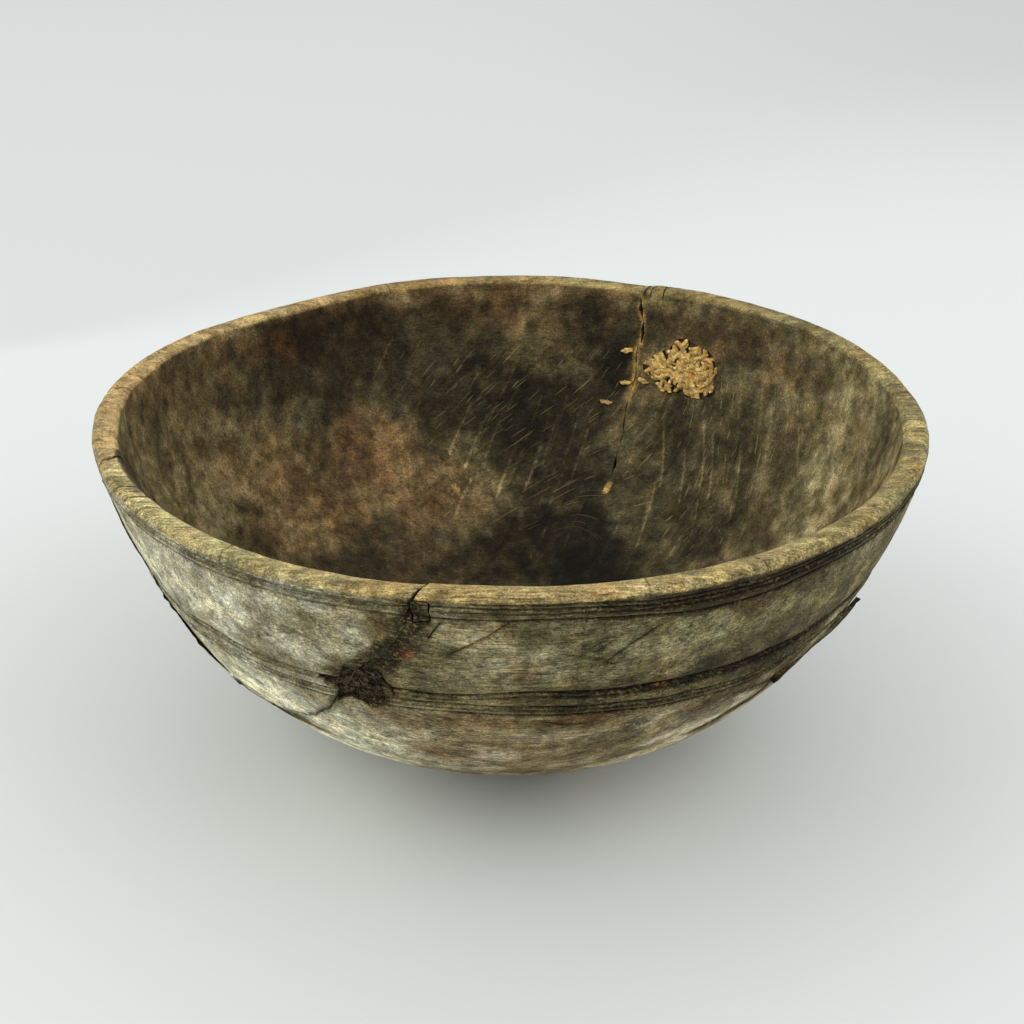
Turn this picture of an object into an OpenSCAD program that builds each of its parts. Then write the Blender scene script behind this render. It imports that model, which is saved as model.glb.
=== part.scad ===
// Deep round bowl carved from one log, with two bands of carved lines, broken at the front left
// and mended. Millimetres, +Z up, -Y towards the front. The origin is the middle of the worn base.
//
// Places on the wall are given as [azimuth, dip] in degrees, seen from the middle of the rim's
// circle: azimuth runs anticlockwise from +X, and dip is how far below the rim's plane one looks.

/* [Bowl] */
// Outer diameter over the rim
rim_d = 380; // [350:5:420]
// Height from the worn base to the top of the rim
bowl_h = 160; // [150:1:170]
// Diameter of the worn flat under the bowl
base_d = 95; // [80:1:110]
// Thickness of the bottom, in the middle
base_t = 14; // [12:1:18]
// Width of the rim
rim_w = 11.4; // [10:0.2:13]
// Radius of the rim's rounded edges
rim_round = 3.5; // [2.5:0.1:4.5]
// How far the outside leans in just below the rim, in degrees
side_lean = 13.2; // [10:0.2:16]

/* [Carved lines] */
// Radius of the blade that cut the fine lines
fine_r = 1.0; // [0.6:0.1:1.4]
// Radius of the blade that cut the wide line over the lower band
wide_r = 2.0; // [1.4:0.1:2.6]
// Height of the upper band's lower line, below the rim
upper_line = 11.2; // [10:0.2:13]
// Height of the wide line over the lower band, below the rim
lower_line = 50.5; // [46:0.5:55]
// Distance from one line of the lower band to the next
line_step = 6.5; // [5:0.5:8]

/* [Breaks and mends] */
// Width of the crack round the broken-out piece
crack_w = 0.7; // [0.4:0.1:1.2]
// Width of the gap round the small loose chips
chip_gap = 0.4; // [0.2:0.1:0.6]
// Width at the rim of the crack in the back wall
back_crack_w = 2.0; // [1:0.2:3]
// How far the crack in the back wall runs down from the rim
back_crack_h = 52; // [40:2:60]
// How far the pale filling stands out of the inside wall, as a share of the wall's thickness
patch_proud = 0.18; // [0.1:0.02:0.3]

/* [Hidden] */

$fn = 96;
rim_r = rim_d / 2;
lip_z = bowl_h - rim_round;
rim_middle = [0, 0, bowl_h];

// The wall's outside and inside are one cubic curve each, from the lip to the base.
curve_steps = 22;
// The pieces set in the wall all lie above this step of the curves.
layer_steps = 17;
lip_steps = 5;
base_lean = 16;
inner_lean = 13;
outer_curve = [
    [rim_r, lip_z],
    [rim_r, lip_z] - 0.34 * rim_r * [sin(side_lean), cos(side_lean)],
    [base_d / 2, 0] + 0.53 * rim_r * [cos(base_lean), sin(base_lean)],
    [base_d / 2, 0]];
inner_curve = [
    [rim_r - rim_w, lip_z],
    [rim_r - rim_w, lip_z] - 0.34 * rim_r * [sin(inner_lean), cos(inner_lean)],
    [0.68 * rim_r, base_t],
    [0, base_t]];

// A cutter's far end lies this many rim radii from the rim's middle, outside the wall.
reach = 1.35;
// How far above the rim's plane a cutter that crosses the rim starts, in degrees
over_rim = -12;

// Edge of the broken-out piece: down from the rim at the front, round below the lower band of
// lines, and up to the rim again at the left.
fragment_edge = [
    [-102, over_rim], [-102, 5], [-105, 8], [-107, 11], [-113, 18], [-117, 24], [-124, 30],
    [-134, 31.5], [-146, 31], [-152, 23], [-157, 14], [-160, 5.5], [-161, over_rim]];
// Edges of the small pieces
chip_edge = [[-102.3, 1.1], [-99.6, 1.1], [-99.6, 3.9], [-102.3, 4.1]];
dark_fill_edge = [
    [-107.5, 10.5], [-105.3, 12], [-105.6, 18], [-107, 21.5], [-115.5, 23.5], [-114.5, 19.5],
    [-111, 14]];
left_splinter_edge = [
    [-146, 32.3], [-140, 32.5], [-134.5, 33], [-135.5, 34.6], [-142, 35.4], [-147, 33.8]];
right_upper_edge = [
    [-36, 25], [-31, 22], [-26.5, 19.5], [-25.5, 22], [-30, 25.5], [-35, 27.6]];
right_lower_edge = [[-46, 25], [-42, 24.6], [-38, 26], [-39, 28.3], [-43, 28], [-46, 26.8]];

// The pale filling is a rounded patch with three crumbs of it on the crack's other side.
patch_middle = [56.5, 12.4];
patch_half = [7.2, 4.6];
patch_corners = 12;
patch_edge = [
    for (i = [0 : patch_corners - 1])
        patch_middle + (1 + 0.08 * sin(150 * i)) * [
            patch_half[0] * cos(360 * i / patch_corners),
            patch_half[1] * sin(360 * i / patch_corners)]];
crumbs = [[68.3, 10.7], [68.0, 16.6], [71.0, 20.6]];
crumb_half = 0.8;

// How deep the small pieces sit, as shares of the wall's thickness from inside (0) to outside (1)
chip_floor = 0.5;
splinter_floor = 0.65;
fill_floor = 0.6;
patch_floor = 0.25;
// The gum lies in the middle of the wall, away from both of its faces.
gum_from = 0.3;
gum_to = 0.7;

back_crack_az = 66.3;

function mix(a, b, t) = a + (b - a) * t;
function cubic(c, t) =
    pow(1 - t, 3) * c[0] + 3 * pow(1 - t, 2) * t * c[1] + 3 * (1 - t) * t * t * c[2] + pow(t, 3) * c[3];
function layer_point(share, t) = mix(cubic(inner_curve, t), cubic(outer_curve, t), share);
function layer_line(share, steps) = [for (i = steps) layer_point(share, i / curve_steps)];
function towards(a) = [cos(a[1]) * cos(a[0]), cos(a[1]) * sin(a[0]), -sin(a[1])];
function middle(edge) = [for (k = [0, 1]) (min([for (a = edge) a[k]]) + max([for (a = edge) a[k]])) / 2];
// Outside radius at a depth below the rim, from the outer curve
function outer_r(depth) =
    lookup(depth, [for (i = [0 : curve_steps]) let (p = cubic(outer_curve, i / curve_steps)) [bowl_h - p[1], p[0]]]);
// An outline drawn in towards its own middle by a distance on the wall
function drawn_in(edge, distance) =
    let (m = middle(edge), turn = distance / rim_r * 180 / PI)
    [for (a = edge) a + (m - a) * turn / norm(m - a)];

// One layer of the wall between two shares of its thickness, turned all the way round
module wall_layer(share_in, share_out) {
    rotate_extrude()
        polygon(concat(
            layer_line(share_out, [0 : layer_steps]),
            layer_line(share_in, [layer_steps : -1 : 0])));
}

// A quarter round of the lip about a centre, from one angle to another
function lip_arc(centre, from, to) =
    [for (i = [0 : lip_steps]) let (a = mix(from, to, i / lip_steps)) centre + rim_round * [cos(a), sin(a)]];

// The wall in section: up the outside, over the rounded lip, and down the inside
module wall_section() {
    polygon(concat(
        [[0, 0]],
        layer_line(1, [curve_steps : -1 : 1]),
        lip_arc([rim_r - rim_round, lip_z], 0, 90),
        lip_arc([rim_r - rim_w + rim_round, lip_z], 90, 180),
        layer_line(0, [1 : curve_steps])));
}

// The tool marks of one carved line: its middle lies on the outside wall
module carved_line(depth, blade_r) {
    translate([outer_r(depth) + 0.25 * blade_r, bowl_h - depth])
        circle(r = blade_r);
}

// The whole bowl before it broke
module whole_bowl() {
    rotate_extrude()
        difference() {
            wall_section();
            carved_line(upper_line - 6, fine_r);
            carved_line(upper_line, fine_r);
            carved_line(lower_line, wide_r);
            carved_line(lower_line + line_step, fine_r);
            carved_line(lower_line + 2 * line_step, fine_r);
        }
}

// Everything that is seen through an outline on the wall from the middle of the rim's circle:
// a pyramid with its tip there, whose sides cut the wall square to its face
module seen_through(edge) {
    count = len(edge);
    far = concat([for (a = edge) towards(a)], [towards(middle(edge))]);
    polyhedron(
        points = concat([rim_middle], [for (v = far) rim_middle + reach * rim_r * v]),
        faces = concat(
            [for (i = [0 : count - 1]) [0, 1 + (i + 1) % count, 1 + i]],
            [for (i = [0 : count - 1]) [1 + count, 1 + i, 1 + (i + 1) % count]]));
}

// A piece of one layer of the wall inside an outline
module wall_piece(edge, share_in, share_out) {
    intersection() {
        wall_layer(share_in, share_out);
        seen_through(edge);
    }
}

// The pockets that the small pieces sit in
module pockets() {
    wall_piece(chip_edge, chip_floor, 1.3);
    wall_piece(dark_fill_edge, fill_floor, 1.3);
    wall_piece(left_splinter_edge, splinter_floor, 1.3);
    wall_piece(right_upper_edge, splinter_floor, 1.3);
    wall_piece(right_lower_edge, splinter_floor, 1.3);
}

// The crack in the back wall: a wedge open at the rim, and a short slot in the inside lower down
module back_crack() {
    slot_h = 14;
    slot_w = 1.6;
    slot_z = bowl_h - 90;
    slot_from = 110;
    slot_to = 144;
    rotate([0, 0, back_crack_az])
        rotate([90, 0, 90]) {
            translate([0, 0, 0.7 * rim_r])
                linear_extrude(0.5 * rim_r)
                    polygon([
                        [-back_crack_w / 2, bowl_h + 1],
                        [0, bowl_h - back_crack_h],
                        [back_crack_w / 2, bowl_h + 1]]);
            translate([0, slot_z, slot_from])
                linear_extrude(slot_to - slot_from)
                    polygon([[0, slot_h / 2], [-slot_w / 2, 0], [0, -slot_h / 2], [slot_w / 2, 0]]);
        }
}

module bowl_body() {
    color("#6f6549")
        difference() {
            whole_bowl();
            seen_through(fragment_edge);
            pockets();
            back_crack();
            wall_piece(patch_edge, -0.3, patch_floor);
        }
}

module wall_fragment() {
    color("#97917a")
        difference() {
            intersection() {
                whole_bowl();
                seen_through(drawn_in(fragment_edge, crack_w));
            }
            pockets();
        }
}

// Gum in the crack round the broken-out piece, in the middle of the wall's thickness. It stops
// short of the rim and of the dark fill.
module fragment_gum_seam() {
    gum_top = bowl_h - 12;
    color("#3a2a1a")
        difference() {
            wall_piece(fragment_edge, gum_from, gum_to);
            seen_through(drawn_in(fragment_edge, crack_w));
            pockets();
            translate([-rim_r, -rim_r, gum_top])
                cube([rim_d, rim_d, bowl_h]);
        }
}

module rim_chip() {
    color("#8a7a52")
        wall_piece(drawn_in(chip_edge, chip_gap), chip_floor, 1);
}

module dark_fill() {
    color("#2b2318")
        wall_piece(dark_fill_edge, fill_floor, 0.97);
}

module pale_patch() {
    color("#c9a866") {
        wall_piece(patch_edge, -patch_proud, patch_floor);
        for (m = crumbs)
            wall_piece(
                [for (i = [0 : 4]) m + crumb_half * [cos(72 * i), sin(72 * i)]],
                -0.5 * patch_proud,
                0);
    }
}

module left_splinter() {
    color("#5f543a")
        wall_piece(drawn_in(left_splinter_edge, chip_gap), splinter_floor, 1.08);
}

module right_splinter_upper() {
    color("#6a5c40")
        wall_piece(drawn_in(right_upper_edge, chip_gap), splinter_floor, 1.08);
}

module right_splinter_lower() {
    color("#7a4b30")
        wall_piece(drawn_in(right_lower_edge, chip_gap), splinter_floor, 1.05);
}

bowl_body();
wall_fragment();
fragment_gum_seam();
rim_chip();
dark_fill();
pale_patch();
left_splinter();
right_splinter_upper();
right_splinter_lower();
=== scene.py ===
"""Looks of a carved wooden bowl: a deep one-log bowl, weathered outside and dark inside, whose
broken-out front-left wall piece has been set back in its hole.

Lengths in this script are millimetres until a mesh is made, which is in metres. Places on the wall
are (azimuth, dip) in degrees, seen from the middle of the rim's circle: azimuth runs anticlockwise
from +X, and dip is how far below the rim's plane one looks. -Y is the front. A share is a place in
the wall's thickness, from 0 on the inside to 1 on the outside. The wood's fibres run along X.
"""

import math

import bmesh
import bpy
import numpy as np
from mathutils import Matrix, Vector


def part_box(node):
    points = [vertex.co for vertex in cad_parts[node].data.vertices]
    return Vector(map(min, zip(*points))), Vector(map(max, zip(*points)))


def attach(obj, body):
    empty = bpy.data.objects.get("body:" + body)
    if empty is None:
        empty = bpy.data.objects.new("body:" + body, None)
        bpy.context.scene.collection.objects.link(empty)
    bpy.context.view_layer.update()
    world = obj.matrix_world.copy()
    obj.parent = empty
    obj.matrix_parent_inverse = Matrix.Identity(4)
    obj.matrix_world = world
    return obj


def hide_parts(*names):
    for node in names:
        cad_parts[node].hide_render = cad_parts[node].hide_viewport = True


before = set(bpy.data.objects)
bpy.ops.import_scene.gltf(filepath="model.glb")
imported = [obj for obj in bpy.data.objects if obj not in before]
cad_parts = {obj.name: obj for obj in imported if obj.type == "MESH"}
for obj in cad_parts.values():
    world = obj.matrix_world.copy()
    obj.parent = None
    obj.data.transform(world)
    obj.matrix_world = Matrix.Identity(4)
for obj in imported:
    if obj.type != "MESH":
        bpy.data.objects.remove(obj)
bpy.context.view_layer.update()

MM = 0.001

# ---------------------------------------------------------------- the bowl's driving sizes
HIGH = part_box("bowl_body")[1]
RIM_R = round(HIGH.x / MM)
RIM_Z = round(HIGH.z / MM)
BASE_R = 0.25 * RIM_R
BASE_T = 14.0
RIM_W = 11.4
LIP_ROUND = 3.5
LIP_Z = RIM_Z - LIP_ROUND
RIM_MIDDLE = np.array([0.0, 0.0, RIM_Z])
FINENESS = 1.0
AROUND = int(920 * FINENESS)
NOISE_TABLE = 4096
MM_PER_DEGREE = math.pi / 180 * RIM_R


# ---------------------------------------------------------------- noise and small maths
def value_noise(p, size, seed):
    """Smooth noise from -1 to 1 at points p, with lumps about size across (a number or x, y, z)."""
    table = np.random.default_rng(seed).random(NOISE_TABLE)
    q = p / np.asarray(size, float) + 17.3 * (seed % 13)
    cell = np.floor(q).astype(np.int64)
    f = q - cell
    f = f * f * (3 - 2 * f)
    total = np.zeros(len(p))
    for dx in (0, 1):
        for dy in (0, 1):
            for dz in (0, 1):
                key = ((cell[:, 0] + dx) * 73856093) ^ ((cell[:, 1] + dy) * 19349663)
                key ^= (cell[:, 2] + dz) * 83492791
                weight = np.abs(1 - dx - f[:, 0]) * np.abs(1 - dy - f[:, 1]) * np.abs(1 - dz - f[:, 2])
                total += weight * table[key & (NOISE_TABLE - 1)]
    return 2 * total - 1


def fractal(p, size, seed, octaves=3, fade=0.55):
    """Noise with finer and fainter layers, mostly from -1 to 1."""
    size = np.asarray(size, float)
    total = np.zeros(len(p))
    height, power = 1.0, 0.0
    for octave in range(octaves):
        total += height * value_noise(p, size / 2**octave, seed + 31 * octave)
        power += height**2
        height *= fade
    return total / math.sqrt(power)


def smooth(low, high, x):
    """0 below low, 1 above high, and a smooth step between. It falls where low is over high."""
    t = np.clip((x - low) / (high - low), 0, 1)
    return t * t * (3 - 2 * t)


def turn_between(a, b):
    """The turn from azimuth b to azimuth a, from -180 to 180."""
    return (a - b + 180) % 360 - 180


def round_route(az, points):
    """A value that follows (azimuth, value) points smoothly all the way round."""
    at = np.array([p[0] for p in points], float)
    value = np.array([p[1] for p in points], float)
    at = np.concatenate([at - 360, at, at + 360])
    value = np.tile(value, 3)
    k = np.clip(np.searchsorted(at, az) - 1, 0, len(at) - 2)
    t = (az - at[k]) / (at[k + 1] - at[k])
    t = t * t * (3 - 2 * t)
    return value[k] + (value[k + 1] - value[k]) * t


# ---------------------------------------------------------------- the wall in section
def cubic(points, count):
    """A cubic curve through its first and last point, as count points."""
    t = np.linspace(0, 1, count)[:, None]
    a, b, c, d = (np.array(p, float) for p in points)
    return (1 - t) ** 3 * a + 3 * (1 - t) ** 2 * t * b + 3 * (1 - t) * t * t * c + t**3 * d


def lean(angle, length):
    """A step of some length, leaning outwards from upright by an angle in degrees."""
    return length * np.array([math.sin(math.radians(angle)), math.cos(math.radians(angle))])


def arc(centre, radius, start, end, count):
    """Part of a circle, as count points."""
    a = np.radians(np.linspace(start, end, count))
    return np.stack([centre[0] + radius * np.cos(a), centre[1] + radius * np.sin(a)], 1)


OUTER_TOP = np.array([RIM_R, LIP_Z])
INNER_TOP = np.array([RIM_R - RIM_W, LIP_Z])
BASE_PULL = 0.53 * RIM_R * np.array([math.cos(math.radians(16)), math.sin(math.radians(16))])
OUTER = cubic(
    [OUTER_TOP, OUTER_TOP - lean(13.2, 0.34 * RIM_R), np.array([BASE_R, 0]) + BASE_PULL, (BASE_R, 0)], 900
)
INNER = cubic([INNER_TOP, INNER_TOP - lean(13, 0.34 * RIM_R), (0.68 * RIM_R, BASE_T), (0, BASE_T)], 900)


def section():
    """The wall's outline: the base from its middle, up the outside, over the lip, down the inside."""
    flat = np.stack([np.linspace(0, BASE_R, 60)[:-1], np.zeros(59)], 1)
    lip_out = arc((RIM_R - LIP_ROUND, LIP_Z), LIP_ROUND, 0, 90, 14)[1:]
    lip_in = arc((RIM_R - RIM_W + LIP_ROUND, LIP_Z), LIP_ROUND, 90, 180, 14)
    return np.concatenate([flat, OUTER[::-1], lip_out, lip_in, INNER[1:]])


def wall_distance(curve, dip):
    """How far one face of the wall is from the rim's middle, along a dip."""
    dips = np.degrees(np.arctan2(RIM_Z - curve[:, 1], curve[:, 0]))
    far = np.hypot(curve[:, 0], RIM_Z - curve[:, 1])
    return np.interp(dip, dips, far)


def towards(az, dip):
    """Unit vectors from the rim's middle."""
    az, dip = np.radians(az), np.radians(dip)
    return np.stack([np.cos(dip) * np.cos(az), np.cos(dip) * np.sin(az), -np.sin(dip)], -1)


def on_wall(az, dip, share):
    """The point at an azimuth, a dip and a share of the wall's thickness."""
    az, dip, share = np.broadcast_arrays(*(np.asarray(v, float) for v in (az, dip, share)))
    near, far = wall_distance(INNER, dip), wall_distance(OUTER, dip)
    return RIM_MIDDLE + (near + (far - near) * share)[..., None] * towards(az, dip)


def az_dip(p):
    """Azimuth and dip of points."""
    flat_r = np.hypot(p[:, 0], p[:, 1])
    az = np.degrees(np.arctan2(p[:, 1], p[:, 0]))
    return az, np.degrees(np.arctan2(RIM_Z - p[:, 2], flat_r))


def share_of(p):
    """The share of the wall's thickness that points lie at."""
    dip = az_dip(p)[1]
    near, far = wall_distance(INNER, dip), wall_distance(OUTER, dip)
    return (np.linalg.norm(p - RIM_MIDDLE, axis=1) - near) / (far - near)


# ---------------------------------------------------------------- carved lines and hand work
# Each carved line's depth below the rim all the way round, as (azimuth, depth).
LINE_UPPER_1 = [
    (-160, 6.0), (-138, 5.6), (-115, 6.2), (-96, 5.8), (-84, 6.4), (-72, 8.6), (-60, 8.6), (-45, 6.6),
    (0, 6), (90, 6), (170, 6),
]
LINE_UPPER_2 = [
    (-160, 11), (-122, 10.4), (-107, 10.4), (-96, 11.6), (-86, 11.4), (-75, 13.2), (-67, 15.4), (-58, 15),
    (-47, 11.6), (-30, 11), (60, 11.5), (140, 11),
]
LINE_LOWER = [
    (-160, 51), (-137, 50), (-126, 53), (-110, 52.5), (-100, 54), (-88, 51.5), (-75, 54), (-60, 54.5),
    (-50, 53.5), (-42, 50), (-30, 49), (40, 51), (120, 52),
]
LINE_RIDGE = [
    (-160, 56), (-137, 55.5), (-120, 57.5), (-97, 56.6), (-88, 57.6), (-76, 58.8), (-68, 60), (-52, 62.5),
    (-42, 57), (-30, 55), (40, 57), (120, 57),
]
RIDGE_GAP = 5.2


def bell(x, middle, half_width):
    """1 at the middle, falling off smoothly on both sides."""
    return np.exp(-(((x - middle) / half_width) ** 2))


def line_depths(az, p):
    """Depth of the four carved lines below the rim, with the carver's small wobble."""
    wobble = 0.4 * value_noise(p, 14, 402)
    return [round_route(az, line) + wobble for line in (LINE_UPPER_1, LINE_UPPER_2, LINE_LOWER, LINE_RIDGE)]


def carved_lines(az, depth, p):
    """How far the carved lines push the outside wall in or out, in mm."""
    first, second, lower, ridge = line_depths(az, p)
    worn = 0.8 + 0.35 * fractal(p, 45, 401)
    deep_right = smooth(-95, -65, az) * smooth(60, 20, az)
    push = 0.45 * bell(depth, 0.5 * (first + second), 1.6) - 0.5 * worn * bell(depth, first, 1.3)
    push -= 0.5 * worn * bell(depth, second, 1.3)
    push -= (0.9 + 1.4 * deep_right) * bell(depth, lower, 1.4 + 1.0 * deep_right)
    push += worn * (0.6 * bell(depth, ridge, 0.8) - 0.8 * bell(depth, ridge + 2.4, 1.0))
    second_ridge = ridge + RIDGE_GAP
    push += worn * (0.5 * bell(depth, second_ridge, 0.8) - 0.6 * bell(depth, second_ridge + 2.2, 1.0))
    return push


def gouge_marks(az, dip, p):
    """The shallow troughs of the gouge that hollowed the bowl, down the inside wall, in mm."""
    across = az / 5.2 + 0.05 * dip + 0.5 * fractal(p, 60, 611, 2)
    trough = np.abs(np.sin(math.pi * across))
    return 0.28 * (trough - 0.6) * smooth(75, 40, dip) * (0.6 + 0.4 * value_noise(p, 40, 613))


def hand_work(p, seed):
    """Unevenness left by the carver and by wear, in mm along the wall's normal."""
    big = 0.7 * fractal(p, 110, seed, 2)
    middle = 0.3 * fractal(p, 30, seed + 7, 2)
    fine = 0.13 * fractal(p, (16, 3.4, 3.4), seed + 11, 2)
    return big + middle + fine


def dents(az, dip):
    """Places where the outside is worn or broken away, in mm: the dark fill and its surroundings."""
    warped = np.hypot((turn_between(az, -110.5) + 0.42 * (dip - 17)) / 3.4, (dip - 17.4) / 5.5)
    return -1.5 * smooth(1.25, 0.5, warped)


def break_lip(az, dip, p):
    """The bowl's broken edge at the left stands proud, splintered along the broken-out piece."""
    edge = np.interp(dip, [0, 7, 13.6, 18, 22.6, 27, 31], [-160.4, -159.4, -157, -155, -152, -149, -145.5])
    behind = turn_between(edge, az)
    rough = 0.75 + 0.55 * value_noise(p, 7, 431) + 0.25 * value_noise(p, 2.5, 433)
    proud = 0.5 + 1.0 * smooth(15, 20, dip)
    proud = proud * rough * smooth(-0.6, 0.1, behind) * smooth(13, 3, behind)
    return proud * smooth(2, 7, dip) * smooth(42, 33, dip)


def rim_level(az):
    """The rim isn't quite level: its height change in mm round the bowl."""
    return round_route(az, [
        (-160, 0), (-120, -0.4), (-80, 0.3), (-30, 0), (0, 0.6), (18, 1.6), (35, 2.0), (50, 1.7),
        (64, 1.4), (67, 0.3), (85, 1.2), (100, 1.6), (112, 1.0), (130, -0.8), (150, 0.6), (166, 1.2),
        (180, 0.4),
    ])


def out_of_round(az, z):
    """The bowl isn't quite round: how far its wall is moved out, in mm."""
    rim = round_route(az, [
        (-170, 1.2), (-155, 0), (-90, 0), (0, 0), (90, 0), (140, 0.4), (160, 2.0), (178, 2.6),
    ])
    waist = round_route(az, [
        (-158, -1.0), (-140, 0), (-70, 0), (-50, -1.2), (-32, -2.2), (-10, -1.2), (40, 0), (150, 0),
    ])
    return rim * smooth(40, 140, z) + waist * bell(z, 85, 45)


def move_round(p, sign):
    """Moves points to where the out-of-round wall is, or back with sign -1."""
    az = np.degrees(np.arctan2(p[:, 1], p[:, 0]))
    flat_r = np.maximum(np.hypot(p[:, 0], p[:, 1]), 1)
    size = 1 + sign * out_of_round(az, p[:, 2]) / flat_r * smooth(20, 90, flat_r)
    return np.stack([p[:, 0] * size, p[:, 1] * size, p[:, 2]], 1)


def spaced_rows(points):
    """Picks rows along the section: close together at the carved lines and the lip."""
    step = np.hypot(*np.diff(points, axis=0).T)
    along = np.concatenate([[0], np.cumsum(step)])
    top = along[np.argmax(points[:, 1])]
    outside = along < top
    depth = RIM_Z - points[:, 1]
    wanted = np.full(len(points), 2.1)
    near_lines = ((depth > 3) & (depth < 18)) | ((depth > 46) & (depth < 69))
    wanted[near_lines & outside] = 0.6
    wanted[depth < 4] = 0.8
    wanted[(depth > 100) & outside] = 2.8
    wanted[(depth > 110) & ~outside] = 3.2
    wanted /= FINENESS
    count_along = np.concatenate([[0], np.cumsum(step / (0.5 * (wanted[1:] + wanted[:-1])))])
    at = np.interp(np.linspace(0, count_along[-1], int(count_along[-1])), count_along, along)
    r = np.interp(at, along, points[:, 0])
    z = np.interp(at, along, points[:, 1])
    return np.stack([r, z], 1), at < top


def skin_push(p, outer):
    """How far the finished surface lies out of the plain curves, in mm along the normal."""
    az, dip = az_dip(p)
    depth = RIM_Z - p[:, 2]
    outside = hand_work(p, 500) * smooth(0, 12, p[:, 2]) + carved_lines(az, depth, p) + dents(az, dip)
    outside = outside + break_lip(az, dip, p)
    inside = hand_work(p, 600) + gouge_marks(az, dip, p) * smooth(3, 9, dip)
    return np.where(outer, outside, inside)


def whole_bowl():
    """The bowl before it broke, as vertices and faces of one closed surface."""
    rows, outer_rows = spaced_rows(section())
    tangent = np.gradient(rows, axis=0)
    tangent /= np.linalg.norm(tangent, axis=1)[:, None]
    normal = np.stack([tangent[:, 1], -tangent[:, 0]], 1)
    rows, normal, outer_rows = rows[1:-1], normal[1:-1], outer_rows[1:-1]
    count = len(rows)
    turn = np.linspace(-math.pi, math.pi, AROUND, endpoint=False)
    ca, sa = np.cos(turn)[None, :, None], np.sin(turn)[None, :, None]

    def spin(rz):
        r, z = rz[:, 0][:, None, None], rz[:, 1][:, None, None]
        return np.concatenate([r * ca, r * sa, z + 0 * ca], 2).reshape(-1, 3)

    p, n = spin(rows), spin(normal)
    p = p + n * skin_push(p, np.repeat(outer_rows, AROUND))[:, None]
    p[:, 2] += rim_level(np.degrees(np.tile(turn, count))) * smooth(60, RIM_Z, p[:, 2])
    p = move_round(p, 1)
    verts = np.concatenate([p, [[0, 0, 0], [0, 0, BASE_T]]])
    ring = np.arange(AROUND)
    after = (ring + 1) % AROUND
    first = np.arange(count - 1)[:, None] * AROUND
    quads = np.stack([first + ring, first + after, first + AROUND + after, first + AROUND + ring], 2)
    last = (count - 1) * AROUND
    bottom = np.stack([after, ring, np.full(AROUND, count * AROUND)], 1)
    top = np.stack([last + ring, last + after, np.full(AROUND, count * AROUND + 1)], 1)
    return verts, quads.reshape(-1, 4), bottom, top


# ---------------------------------------------------------------- meshes
def make_object(name, verts, *face_groups):
    """A mesh object from millimetre vertices and arrays of faces."""
    mesh = bpy.data.meshes.new(name)
    verts = np.asarray(verts, float) * MM
    corners = np.concatenate([np.asarray(f).ravel() for f in face_groups]).astype(np.int32)
    sizes = np.concatenate([np.full(len(f), len(f[0])) for f in face_groups])
    mesh.vertices.add(len(verts))
    mesh.vertices.foreach_set("co", verts.ravel())
    mesh.loops.add(len(corners))
    mesh.loops.foreach_set("vertex_index", corners)
    mesh.polygons.add(len(sizes))
    mesh.polygons.foreach_set("loop_start", (np.cumsum(sizes) - sizes).astype(np.int32))
    mesh.update(calc_edges=True)
    mesh.validate()
    obj = bpy.data.objects.new(name, mesh)
    bpy.context.scene.collection.objects.link(obj)
    return obj


def copy_object(obj, name):
    twin = obj.copy()
    twin.data = obj.data.copy()
    twin.name = twin.data.name = name
    bpy.context.scene.collection.objects.link(twin)
    return twin


def drop(*objects):
    for obj in objects:
        mesh = obj.data
        bpy.data.objects.remove(obj)
        bpy.data.meshes.remove(mesh)


def cut(obj, tool, operation="DIFFERENCE"):
    """Cuts obj with a closed tool, or keeps what lies inside the tool."""
    step = obj.modifiers.new("cut", "BOOLEAN")
    step.operation = operation
    step.solver = "MANIFOLD"
    step.object = tool
    graph = bpy.context.evaluated_depsgraph_get()
    mesh = bpy.data.meshes.new_from_object(obj.evaluated_get(graph))
    obj.modifiers.clear()
    old = obj.data
    name = old.name
    obj.data = mesh
    bpy.data.meshes.remove(old)
    mesh.name = name
    mesh.materials.clear()
    if len(mesh.polygons) == 0:
        raise RuntimeError(f"nothing is left of {obj.name} after {tool.name}")


def vertices(obj):
    """The vertices of an object, in mm."""
    co = np.zeros(len(obj.data.vertices) * 3)
    obj.data.vertices.foreach_get("co", co)
    return co.reshape(-1, 3) / MM


def move_vertices(obj, p):
    obj.data.vertices.foreach_set("co", (p * MM).ravel())
    obj.data.update()


def face_out(obj):
    """Turns all faces outwards."""
    bm = bmesh.new()
    bm.from_mesh(obj.data)
    bmesh.ops.recalc_face_normals(bm, faces=bm.faces)
    bm.to_mesh(obj.data)
    bm.free()


def join(name, objects):
    """One object from several, by copying their vertices and faces."""
    bm = bmesh.new()
    for obj in objects:
        bm.from_mesh(obj.data)
    mesh = bpy.data.meshes.new(name)
    bm.to_mesh(mesh)
    bm.free()
    drop(*objects)
    obj = bpy.data.objects.new(name, mesh)
    bpy.context.scene.collection.objects.link(obj)
    return obj


# ---------------------------------------------------------------- solids on the wall
def even_steps(points, count, closed=True):
    """Points along an outline or a route at even distances."""
    pts = np.array(list(points) + ([points[0]] if closed else []), float)
    along = np.concatenate([[0], np.cumsum(np.hypot(*np.diff(pts, axis=0).T))])
    at = np.linspace(0, along[-1], count, endpoint=not closed)
    return np.stack([np.interp(at, along, pts[:, k]) for k in (0, 1)], 1)


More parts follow.
